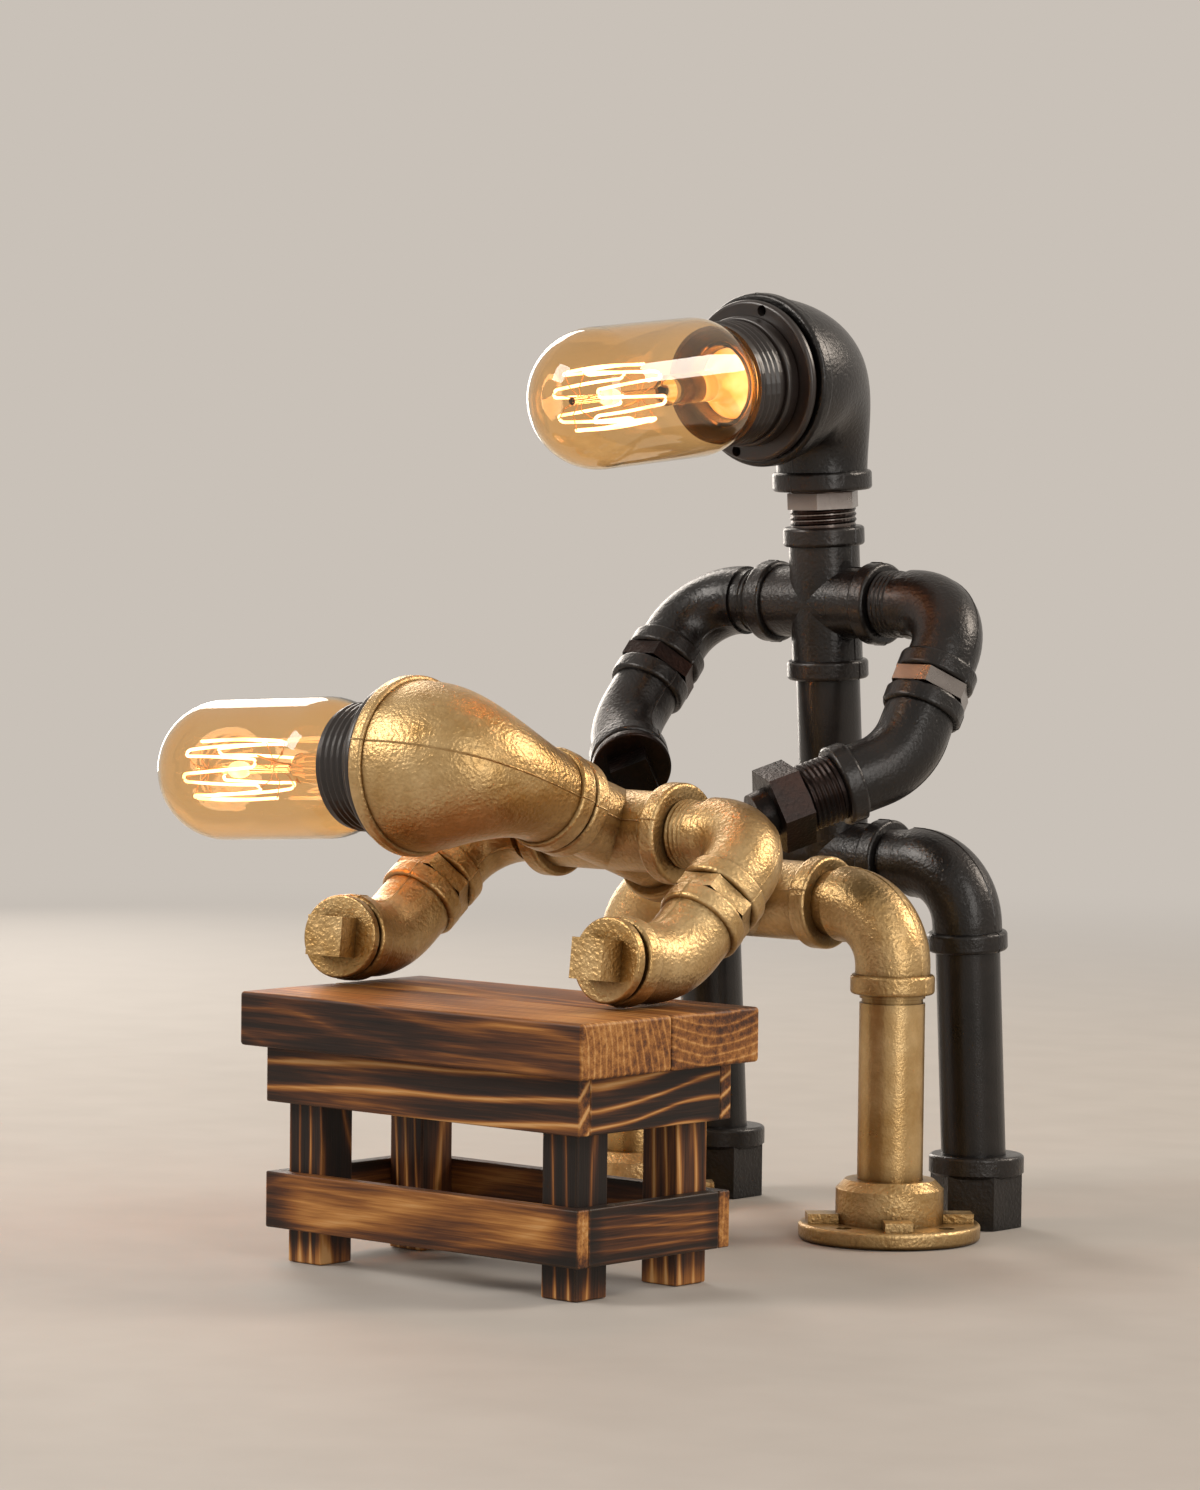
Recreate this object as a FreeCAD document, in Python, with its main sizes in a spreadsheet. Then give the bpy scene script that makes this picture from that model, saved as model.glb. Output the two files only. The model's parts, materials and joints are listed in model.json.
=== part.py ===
# Table lamp made of screwed iron pipe fittings: a gold figure and a black
# figure, both leaning over a small timber bench, each with a bulb as a head.
#
# Frame: +Z is up, the floor is z = 0, both figures look along -Y, and the
# origin is the centre of the bolt circle under the gold figure's near foot.
# The code below measures X from the plane midway between the gold feet.
# Lengths are millimetres and angles are degrees.
import FreeCAD, Part
import math
import os

import Sketcher

doc = FreeCAD.newDocument("PipeLamp")

# ---------------------------------------------------------------------------
# Driving dimensions
# ---------------------------------------------------------------------------
SIZES = {
    # half-inch iron pipe and its screwed joints
    "pipe_radius": 10.65,
    "pipe_bore": 7.9,
    "thread_clearance": 0.08,
    "thread_depth": 10.0,
    "contact_gap": 0.3,
    "edge_round": 1.3,
    "band_width": 6.5,
    "elbow_bend": 19.0,
    "elbow_reach": 29.0,
    "bent_reach": 24.0,
    "bent_bend": 26.0,
    "hex_corner": 12.6,
    "arm_hex_corner": 13.7,
    "hex_gap": 6.0,
    "face_gap": 0.3,
    # gold figure
    "gold_half_stance": 54.9,
    "gold_hip_height": 107.6,
    "gold_hip_reach": 28.0,
    "gold_elbow_band": 13.7,
    "gold_elbow_body": 12.2,
    "gold_cast_reach": 29.0,
    "gold_tee_band": 15.2,
    "gold_cross_band": 16.2,
    "gold_cast_body": 13.0,
    "gold_spine_rise": 18.9,
    "gold_spine_pitch": 78.6,
    "gold_near_shoulder": 62.0,
    "gold_far_shoulder": 56.0,
    "gold_near_drop": 38.5,
    "gold_far_drop": 37.9,
    "gold_far_toe_in": 17.0,
    "flange_radius": 29.5,
    "flange_thickness": 5.5,
    "hub_radius": 17.5,
    "hub_height": 19.5,
    "hub_chamfer": 3.0,
    "bolt_circle": 23.5,
    "bolt_hole": 2.5,
    "web_width": 9.0,
    "web_height": 3.0,
    "groove_depth": 0.7,
    "groove_width": 1.6,
    "groove_drop": 2.0,
    # square plugs in the hands
    "plug_collar": 13.2,
    "plug_collar_thickness": 3.4,
    "plug_standoff": 5.0,
    "plug_square": 12.6,
    "plug_square_end": 14.0,
    # gold head
    "gold_head_setback": 30.0,
    "gold_head_forward": 30.0,
    "gold_head_turn": 2.0,
    # black figure
    "black_half_stance": 55.5,
    "black_lean": 4.0,
    "black_hip_height": 119.5,
    "black_hip_reach": 28.0,
    "black_elbow_band": 13.2,
    "black_elbow_body": 11.5,
    "black_cast_reach": 25.5,
    "black_cast_band": 13.6,
    "black_cast_body": 11.8,
    "black_torso_pitch": 85.6,
    "black_near_shoulder": 57.5,
    "black_far_shoulder": 55.0,
    "black_near_drop": 58.0,
    "black_far_drop": 48.0,
    "black_near_toe_in": 45.0,
    "black_far_toe_in": 75.0,
    "cap_radius": 15.7,
    "cap_corner": 15.2,
    "cap_hex_height": 18.0,
    "cap_height": 24.0,
    "cap_floor": 3.5,
    "bushing_thread_out": 13.0,
    "bushing_hex": 10.5,
    "bushing_corner": 14.6,
    "bushing_end": 7.6,
    "bushing_length": 5.5,
    # black head
    "neck_thread_out": 6.0,
    "neck_hex": 5.4,
    "black_head_setback": 37.5,
    "black_head_forward": 32.5,
    # reducing elbow, the casting of both heads
    "head_rise": 38.0,
    "head_small_band": 16.6,
    "head_throat": 15.2,
    "head_belly": 26.9,
    "head_rim": 28.5,
    "head_rim_width": 5.0,
    "head_rim_tuck": 1.0,
    "head_throat_run": 3.0,
    # bakelite lampholders
    "holder_disc": 26.5,
    "holder_disc_thickness": 3.2,
    "holder_neck": 22.0,
    "holder_neck_length": 16.0,
    "holder_outer": 19.8,
    "holder_bore": 18.3,
    "holder_back": 3.0,
    "holder_wire_hole": 4.0,
    "holder_clearance": 0.6,
    "holder_ahead": 4.0,
    "holder_dip": 1.5,
    "holder_mouth": 17.5,
    "ring_radius": 21.4,
    "ring_width": 5.3,
    "screw_hole": 1.8,
    "screw_turn": 16.5,
    # socket insert and bulb
    "insert_base": 2.4,
    "insert_height": 19.0,
    "insert_wall": 0.8,
    "bulb_cap_radius": 13.15,
    "cap_wall": 0.5,
    "cap_length": 22.0,
    "cap_seat": 4.0,
    "cap_contact": 4.6,
    "glass_radius": 22.7,
    "glass_wall": 0.8,
    "glass_neck": 12.55,
    "glass_mouth": 16.4,
    "glass_shoulder": 18.0,
    "dome_ahead": 57.5,
    "stem_radius": 5.0,
    "stem_height": 30.0,
    "stem_rod": 1.3,
    "cage_start": 36.0,
    "cage_end": 68.0,
    "cage_radius": 9.5,
    "cage_wire": 0.55,
    "cage_loops": 8,
    "hook_share": 0.7,
    # timber bench
    "bench_left": 56.0,
    "bench_right": 86.0,
    "bench_front": 187.0,
    "bench_back": 105.0,
    "slab_thickness": 16.8,
    "slab_joint": 0.15,
    "timber_gap": 0.1,
    "slab_split": 41.0,
    "slab_round": 1.2,
    "board_thickness": 5.0,
    "apron_bottom": 50.1,
    "rail_bottom": 10.8,
    "rail_top": 28.3,
    "apron_inset": 6.0,
    "leg_size": 14.0,
    "board_round": 0.6,
}

sheet = doc.addObject("Spreadsheet::Sheet", "Sizes")
for row, (alias, number) in enumerate(SIZES.items(), start=1):
    cell = "B%d" % row
    sheet.set("A%d" % row, alias)
    sheet.set(cell, str(number))
    sheet.setAlias(cell, alias)
doc.recompute()


class Size:
    """An amount that carries both its value and its expression in the sheet."""

    def __init__(self, value, text):
        self.value = float(value)
        self.text = text

    def __add__(self, other):
        other = amount(other)
        return Size(self.value + other.value, "(%s + %s)" % (self.text, other.text))

    def __sub__(self, other):
        other = amount(other)
        return Size(self.value - other.value, "(%s - %s)" % (self.text, other.text))

    def __mul__(self, other):
        other = amount(other)
        return Size(self.value * other.value, "(%s * %s)" % (self.text, other.text))

    def __truediv__(self, other):
        other = amount(other)
        return Size(self.value / other.value, "(%s / %s)" % (self.text, other.text))

    def __neg__(self):
        return Size(-self.value, "(0 - %s)" % self.text)


def amount(thing):
    return thing if isinstance(thing, Size) else Size(thing, repr(float(thing)))


def size(alias):
    return Size(sheet.get(alias), "Sizes." + alias)


def sine(angle):
    return Size(math.sin(math.radians(angle.value)), "sin(%s)" % angle.text)


def cosine(angle):
    return Size(math.cos(math.radians(angle.value)), "cos(%s)" % angle.text)


def tangent(angle):
    return Size(math.tan(math.radians(angle.value)), "tan(%s)" % angle.text)


NOTHING = Size(0.0, "0")

# Fits that several pieces share.
SOCKET = size("pipe_radius") + size("thread_clearance")
DEPTH = size("thread_depth")

# ---------------------------------------------------------------------------
# Frames
# ---------------------------------------------------------------------------
UP = FreeCAD.Vector(0, 0, 1)
SIDE = FreeCAD.Vector(1, 0, 0)


def frame(origin, along, across=SIDE):
    """A placement at origin with local Z along one direction and X near another."""
    z = FreeCAD.Vector(along).normalize()
    x = across - z * across.dot(z)
    x.normalize()
    y = z.cross(x)
    turn = FreeCAD.Rotation(x, y, z, "ZXY")
    return FreeCAD.Placement(origin, turn)


def pitched(angle):
    """The direction that faces -Y and rises by the angle."""
    tilt = math.radians(angle)
    return FreeCAD.Vector(0, -math.cos(tilt), math.sin(tilt))


def port_frame(angle, distance):
    """Local frame of a port in a fitting's XZ plane, turned from +Z towards +X."""
    turn = FreeCAD.Rotation(FreeCAD.Vector(0, 1, 0), angle)
    return FreeCAD.Placement(turn.multVec(UP) * distance, turn)


# ---------------------------------------------------------------------------
# Modelling operations
# ---------------------------------------------------------------------------
def new_body(label):
    body = doc.addObject("PartDesign::Body", label)
    body.Label = label
    return body


def origin_plane(body, role):
    for feature in body.Origin.OriginFeatures:
        if feature.Role == role:
            return feature
    raise RuntimeError("no plane " + role)


def new_sketch(body, name, role="XZ_Plane"):
    sketch = body.newObject("Sketcher::SketchObject", body.Label + "_" + name)
    sketch.AttachmentSupport = (origin_plane(body, role), [""])
    sketch.MapMode = "FlatFace"
    return sketch


def bind(sketch, kind, where, wanted):
    """Add one dimension to the sketch and tie it to the sheet."""
    index = sketch.addConstraint(Sketcher.Constraint(kind, *where, wanted.value))
    label = "%s_%d" % (kind.lower(), index)
    sketch.renameConstraint(index, label)
    sketch.setExpression("Constraints." + label, wanted.text)


def pin_point(sketch, element, end, x, y):
    """Fix one end of a sketch element at a point measured from the origin."""
    if x.value == 0:
        sketch.addConstraint(Sketcher.Constraint("PointOnObject", element, end, -2))
    else:
        bind(sketch, "DistanceX", (-1, 1, element, end), x)
    if y.value == 0:
        sketch.addConstraint(Sketcher.Constraint("PointOnObject", element, end, -1))
    else:
        bind(sketch, "DistanceY", (-1, 1, element, end), y)


def arc_between(start, finish, radius):
    """Arc of the signed radius from start to finish: positive bends left."""
    chord = finish - start
    middle = (start + finish) * 0.5
    reach = abs(radius)
    rise = math.sqrt(max(reach ** 2 - (chord.Length / 2) ** 2, 0))
    left = FreeCAD.Vector(-chord.y, chord.x, 0).normalize()
    sign = 1 if radius > 0 else -1
    centre = middle + left * (rise * sign)
    top = centre - left * (reach * sign)
    return Part.Arc(start, top, finish)


def outline(sketch, corners):
    """Closed outline through (x, y) corners; a third entry is the arc radius."""
    points = [FreeCAD.Vector(amount(c[0]).value, amount(c[1]).value, 0) for c in corners]
    count = len(points)
    ends = []
    for index, corner in enumerate(corners):
        start = points[index]
        finish = points[(index + 1) % count]
        if len(corner) == 3:
            sketch.addGeometry(arc_between(start, finish, corner[2].value), False)
            flipped = (sketch.getPoint(index, 1) - start).Length > 1e-6
            ends.append((2, 1) if flipped else (1, 2))
        else:
            sketch.addGeometry(Part.LineSegment(start, finish), False)
            ends.append((1, 2))
    for index in range(count):
        after = (index + 1) % count
        link = ("Coincident", index, ends[index][1], after, ends[after][0])
        sketch.addConstraint(Sketcher.Constraint(*link))
    for index, corner in enumerate(corners):
        pin_point(sketch, index, ends[index][0], amount(corner[0]), amount(corner[1]))
        if len(corner) == 3:
            radius = corner[2] if corner[2].value > 0 else -corner[2]
            bind(sketch, "Radius", (index,), radius)


def turned(body, name, corners, cut=False):
    """Revolve an outline of (radius, height) corners round the body's Z axis."""
    sketch = new_sketch(body, name + "_profile")
    outline(sketch, corners)
    kind = "PartDesign::Groove" if cut else "PartDesign::Revolution"
    feature = body.newObject(kind, body.Label + "_" + name)
    feature.Profile = sketch
    feature.ReferenceAxis = (sketch, ["V_Axis"])
    feature.Angle = 360
    return feature


def cylinder(body, name, place, radius, height, cut=False):
    """A round boss or hole whose base centre and axis are given by place."""
    kind = "PartDesign::SubtractiveCylinder" if cut else "PartDesign::AdditiveCylinder"
    feature = body.newObject(kind, body.Label + "_" + name)
    feature.setExpression("Radius", amount(radius).text)
    feature.setExpression("Height", amount(height).text)
    feature.Placement = place
    return feature


def prism(body, name, sides, corner, height, base, turn=0.0):
    """A regular prism on the body's Z axis from the base height upwards."""
    feature = body.newObject("PartDesign::AdditivePrism", body.Label + "_" + name)
    feature.Polygon = sides
    feature.setExpression("Circumradius", amount(corner).text)
    feature.setExpression("Height", amount(height).text)
    spin = FreeCAD.Rotation(UP, turn)
    feature.Placement = FreeCAD.Placement(UP * amount(base).value, spin)
    return feature


def rounded(body, radii, radius_of_round, name="rounds"):
    """Round the circular edges of the given radii on the body's last feature."""
    doc.recompute()
    base = body.Tip
    shape = base.Shape
    chosen = []
    for index, edge in enumerate(shape.Edges, start=1):
        if edge.Degenerated or edge.Curve.TypeId != "Part::GeomCircle":
            continue
        if edge.Length < 6.0 * edge.Curve.Radius:
            continue
        if any(abs(edge.Curve.Radius - radius.value) < 1e-4 for radius in radii):
            chosen.append("Edge%d" % index)
    if not chosen:
        raise RuntimeError("no edges to round on " + body.Label)
    feature = body.newObject("PartDesign::Fillet", body.Label + "_" + name)
    feature.Base = (base, chosen)
    feature.setExpression("Radius", radius_of_round.text)
    return feature


def swept(body, name, radius, spread, bend, first, second, cut=False):
    """Sweep a circle from the port at 0 degrees round to the port at spread."""
    half_turn = (amount(180) - spread) / 2
    leg = bend * tangent(half_turn)
    across = sine(spread)
    along = cosine(spread)
    path = new_sketch(body, name + "_path")
    starts = [(NOTHING, first), (NOTHING, leg)]
    finish = (second * across, second * along)
    joint = (leg * across, leg * along)
    points = [FreeCAD.Vector(x.value, y.value, 0) for x, y in starts + [joint, finish]]
    path.addGeometry(Part.LineSegment(points[0], points[1]), False)
    path.addGeometry(arc_between(points[1], points[2], bend.value), False)
    path.addGeometry(Part.LineSegment(points[2], points[3]), False)
    flipped = (path.getPoint(1, 1) - points[1]).Length > 1e-6
    arc_start, arc_end = (2, 1) if flipped else (1, 2)
    path.addConstraint(Sketcher.Constraint("Coincident", 0, 2, 1, arc_start))
    path.addConstraint(Sketcher.Constraint("Coincident", 1, arc_end, 2, 1))
    pin_point(path, 0, 1, *starts[0])
    pin_point(path, 0, 2, *starts[1])
    pin_point(path, 2, 1, *joint)
    pin_point(path, 2, 2, *finish)
    bind(path, "Radius", (1,), bend)
    section = new_sketch(body, name + "_section", "XY_Plane")
    section.setExpression("AttachmentOffset.Base.z", first.text)
    section.addGeometry(Part.Circle(FreeCAD.Vector(), UP, radius.value), False)
    section.addConstraint(Sketcher.Constraint("Coincident", 0, 3, -1, 1))
    bind(section, "Radius", (0,), radius)
    kind = "PartDesign::SubtractivePipe" if cut else "PartDesign::AdditivePipe"
    feature = body.newObject(kind, body.Label + "_" + name)
    feature.Profile = section
    feature.Spine = path
    return feature


def threaded_port(body, name, angle, reach, band, trunk):
    """Outside of one female port: a round trunk that ends in a raised band."""
    width = size("band_width")
    if trunk is not None:
        cylinder(body, name + "_trunk", port_frame(angle, 0), trunk, reach)
    start = reach - width
    cylinder(body, name + "_band", port_frame(angle, start.value), band, width)


def tapped(body, name, angle, reach, depth=DEPTH):
    """Threaded socket cut from a port's face inwards."""
    start = reach - depth
    over = depth + 1
    cylinder(body, name + "_socket", port_frame(angle, start.value), SOCKET, over, True)


def casting(label, angles, reach, band, trunk):
    """Tee or cross with female ports at the given angles in its XZ plane."""
    body = new_body(label)
    for number, angle in enumerate(angles, start=1):
        threaded_port(body, "port%d" % number, angle, reach, band, trunk)
    rounded(body, [band], size("edge_round"))
    bore = size("pipe_bore")
    for number, angle in enumerate(angles, start=1):
        cylinder(body, "bore%d" % number, port_frame(angle, 0), bore, reach, True)
        tapped(body, "port%d" % number, angle, reach)
    return body


def street_elbow(label, band, trunk, reach, barrel_end):
    """90 degree elbow: female port along +Z, male barrel along +X."""
    body = new_body(label)
    bend = size("elbow_bend")
    right = amount(90)
    trunk_end = bend + 2
    swept(body, "trunk", trunk, right, bend, reach, trunk_end)
    threaded_port(body, "female", 0, reach, band, None)
    rounded(body, [band], size("edge_round"))
    run = barrel_end - bend
    cylinder(body, "barrel", port_frame(90, bend.value), size("pipe_radius"), run)
    swept(body, "bore", size("pipe_bore"), right, bend, reach + 1, barrel_end + 1, True)
    tapped(body, "female", 0, reach)
    return body


def bent_elbow(label, band, trunk):
    """45 degree elbow with a female port at each end."""
    body = new_body(label)
    bend = size("bent_bend")
    reach = size("bent_reach")
    spread = amount(135)
    swept(body, "trunk", trunk, spread, bend, reach, reach)
    threaded_port(body, "first", 0, reach, band, None)
    threaded_port(body, "second", 135, reach, band, None)
    rounded(body, [band], size("edge_round"))
    swept(body, "bore", size("pipe_bore"), spread, bend, reach + 1, reach + 1, True)
    tapped(body, "first", 0, reach)
    tapped(body, "second", 135, reach)
    return body


def pipe(label, start, finish, groove=None):
    """Straight pipe on its Z axis between two heights."""
    body = new_body(label)
    outer = size("pipe_radius")
    inner = size("pipe_bore")
    turned(body, "wall", [(inner, start), (outer, start), (outer, finish), (inner, finish)])
    if groove is not None:
        half = size("groove_width") / 2
        root = outer - size("groove_depth")
        low = groove - half
        high = groove + half
        edge = outer + 1
        turned(body, "groove", [(root, low), (edge, low), (edge, high), (root, high)], True)
    return body


def hex_nipple(label, below, above, hex_base, hex_height, corner):
    """Short threaded nipple with a hexagon, measured from its hexagon's base frame."""
    body = new_body(label)
    outer = size("pipe_radius")
    inner = size("pipe_bore")
    prism(body, "hexagon", 6, corner, hex_height, hex_base)
    turned(body, "thread", [(NOTHING, below), (outer, below), (outer, above), (NOTHING, above)])
    run = above - below + 2
    low = below - 1
    start = FreeCAD.Placement(UP * low.value, FreeCAD.Rotation())
    cylinder(body, "bore", start, inner, run, True)
    return body


def square_plug(label):
    """Plug whose Z axis leaves the hand; z = 0 is the face of the hand's band."""
    body = new_body(label)
    stub = size("pipe_radius")
    inside = size("face_gap") - DEPTH
    back = size("plug_standoff") - size("plug_collar_thickness")
    front = size("plug_standoff")
    collar = size("plug_collar")
    corners = [(NOTHING, inside), (stub, inside), (stub, back), (collar, back)]
    corners += [(collar, front), (NOTHING, front)]
    turned(body, "collar", corners)
    rounded(body, [collar], size("edge_round") * 0.6)
    corner = size("plug_square") / amount(math.sqrt(2))
    prism(body, "square", 4, corner, size("plug_square_end") - front, front, 45.0)
    return body


def hex_bushing(label):
    """Reducing bushing: long thread, hexagon, tapering threaded end."""
    body = new_body(label)
    stub = size("pipe_radius")
    inside = size("face_gap") - DEPTH
    out = size("bushing_thread_out")
    hex_end = out + size("bushing_hex")
    end = hex_end + size("bushing_length")
    tip = size("bushing_end")
    wide = tip + 0.6
    turned(body, "thread", [(NOTHING, inside), (stub, inside), (stub, out), (NOTHING, out)])
    prism(body, "hexagon", 6, size("bushing_corner"), size("bushing_hex"), out)
    turned(body, "taper", [(NOTHING, hex_end), (wide, hex_end), (tip, end), (NOTHING, end)])
    low = FreeCAD.Placement(UP * (inside.value - 1), FreeCAD.Rotation())
    cylinder(body, "bore", low, tip * 0.6, end - inside + 2, True)
    return body


def tilted_bore(label, blank, radius, start, depth, tilt):
    """Cut a round hole into a turned blank, its axis tilted about the X axis."""
    blank.Label = label + "_blank"
    drill = doc.addObject("Part::Cylinder", label + "_drill")
    drill.setExpression("Radius", radius.text)
    drill.setExpression("Height", depth.text)
    turn = FreeCAD.Rotation(SIDE, tilt)
    drill.Placement = FreeCAD.Placement(start, turn)
    cut = doc.addObject("Part::Cut", label)
    cut.Base = blank
    cut.Tool = drill
    cut.Label = label
    return cut


def place(item, where):
    """Set a finished piece in the lamp, measured from the near foot's centre."""
    item.Placement = FreeCAD.Placement(where.Base - NEAR_FOOT, where.Rotation)
    nodes.append(item)
    return item


nodes = []
NEAR_FOOT = SIDE * sheet.gold_half_stance

# ---------------------------------------------------------------------------
# Skeleton: centres and directions that the fittings share
# ---------------------------------------------------------------------------
gold_spine = pitched(sheet.gold_spine_rise)
gold_hip = FreeCAD.Vector(0, 0, sheet.gold_hip_height)
gold_chest = gold_hip + gold_spine * sheet.gold_spine_pitch

black_stance = sheet.flange_radius + sheet.cap_radius + sheet.contact_gap
lean = math.radians(sheet.black_lean)
black_up = FreeCAD.Vector(0, -math.sin(lean), math.cos(lean))
black_leg_length = sheet.black_hip_height / math.cos(lean)
black_hip_y = black_stance - sheet.black_hip_height * math.tan(lean)
black_hip = FreeCAD.Vector(0, black_hip_y, sheet.black_hip_height)
black_chest = black_hip + black_up * sheet.black_torso_pitch


def make_plug(prefix):
    return square_plug(prefix + "_hand_plug")


def make_bushing(prefix):
    return hex_bushing(prefix + "_hand_bushing")


class Arm:
    """Directions and centres of one arm that hangs from a chest cross."""

    def __init__(self, chest, reach_out, drop, toe_in):
        inward = -1.0 if reach_out.value > 0 else 1.0
        self.out = reach_out if reach_out.value > 0 else -reach_out
        slope = math.radians(drop)
        swing = math.radians(toe_in)
        self.inward = FreeCAD.Vector(inward, 0, 0)
        self.shoulder = chest + FreeCAD.Vector(reach_out.value, 0, 0)
        self.along = FreeCAD.Vector(0, -math.cos(slope), -math.sin(slope))
        lifted = FreeCAD.Vector(0, -math.sin(slope), math.cos(slope))
        aside = lifted * math.cos(swing) + self.inward * math.sin(swing)
        self.hand_along = (self.along + aside) * math.sqrt(0.5)
        upper = sheet.elbow_reach + sheet.hex_gap + sheet.bent_reach
        self.nipple = self.shoulder + self.along * sheet.elbow_reach
        self.elbow = self.shoulder + self.along * upper
        self.hand = self.elbow + self.hand_along * sheet.bent_reach

    def lowest(self, radius, back):
        """Lowest point of a round edge that lies a distance behind the hand's face."""
        centre = self.hand - self.hand_along * back
        fall = math.sqrt(1 - self.hand_along.z ** 2)
        return centre.z - radius * fall


def build_arm(arm, prefix, band, trunk, chest_reach, hand_maker):
    """Shoulder elbow, nipple, forearm elbow and the plug in its hand."""
    barrel = arm.out - chest_reach + DEPTH - size("face_gap")
    item = street_elbow(prefix + "_shoulder", band, trunk, size("elbow_reach"), barrel)
    place(item, frame(arm.shoulder, arm.along, arm.inward))
    gap = size("hex_gap")
    slack = size("face_gap")
    low = slack - DEPTH
    high = gap + DEPTH - slack
    item = hex_nipple(prefix + "_arm_nipple", low, high, slack, gap - slack * 2,
                      size("arm_hex_corner"))
    place(item, frame(arm.nipple, arm.along))
    item = bent_elbow(prefix + "_forearm", band, trunk)
    place(item, frame(arm.elbow, -arm.along, arm.hand_along))
    item = hand_maker(prefix)
    place(item, frame(arm.hand, arm.hand_along))


# ---------------------------------------------------------------------------
# Lampholder and bulb, in a frame whose Z axis is the bulb's axis and whose
# z = 0 is the front of the bakelite disc
# ---------------------------------------------------------------------------
def lampholder(prefix, where):
    mouth = size("holder_mouth")
    outer = size("holder_outer")
    bore = size("holder_bore")
    disc = size("holder_disc")
    neck = size("holder_neck")
    back = -size("holder_disc_thickness")
    floor = -size("holder_neck_length")
    end = floor - size("holder_back")
    hole = size("holder_wire_hole")
    shell = new_body(prefix + "_lampholder_shell")
    corners = [(hole, end), (neck, end), (neck, back), (disc, back), (disc, NOTHING)]
    corners += [(outer, NOTHING), (outer, mouth), (bore, mouth), (bore, floor), (hole, floor)]
    turned(shell, "wall", corners)
    rounded(shell, [disc], size("edge_round"))
    middle = (disc + size("ring_radius")) / 2
    across = FreeCAD.Rotation(UP, -sheet.screw_turn).multVec(FreeCAD.Vector(0, 1, 0))
    for number, side in enumerate((-1, 1), start=1):
        spot = across * (side * middle.value) + UP * (back.value - 1)
        drill = FreeCAD.Placement(spot, FreeCAD.Rotation())
        thick = size("holder_disc_thickness") + 2
        cylinder(shell, "screw_hole%d" % number, drill, size("screw_hole"), thick, True)
    place(shell, where)

    ring = new_body(prefix + "_lampholder_ring")
    inner = outer + size("thread_clearance")
    low = size("thread_clearance")
    high = low + size("ring_width")
    rim = size("ring_radius")
    turned(ring, "wall", [(inner, low), (rim, low), (rim, high), (inner, high)])
    rounded(ring, [rim], size("edge_round") * 0.7)
    place(ring, where)

    insert = new_body(prefix + "_lampholder_insert")
    seat = floor + size("thread_clearance")
    base = seat + size("insert_base")
    top = seat + size("insert_height")
    plate = bore - size("thread_clearance")
    inside = size("bulb_cap_radius") + size("thread_clearance")
    outside = inside + size("insert_wall")
    corners = [(NOTHING, seat), (plate, seat), (plate, base), (outside, base), (outside, top)]
    corners += [(inside, top), (inside, base), (NOTHING, base)]
    turned(insert, "wall", corners)
    place(insert, where)
    return base


def rim_point(angle, radius, height):
    """A point at an angle about the Z axis, at a radius and a height."""
    turn = math.radians(angle)
    return FreeCAD.Vector(radius * math.cos(turn), radius * math.sin(turn), height)


def bar(body, name, start, finish, radius):
    """Round bar between two points."""
    run = finish - start
    turn = FreeCAD.Rotation(UP, run)
    return cylinder(body, name, FreeCAD.Placement(start, turn), radius, amount(run.Length))


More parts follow.
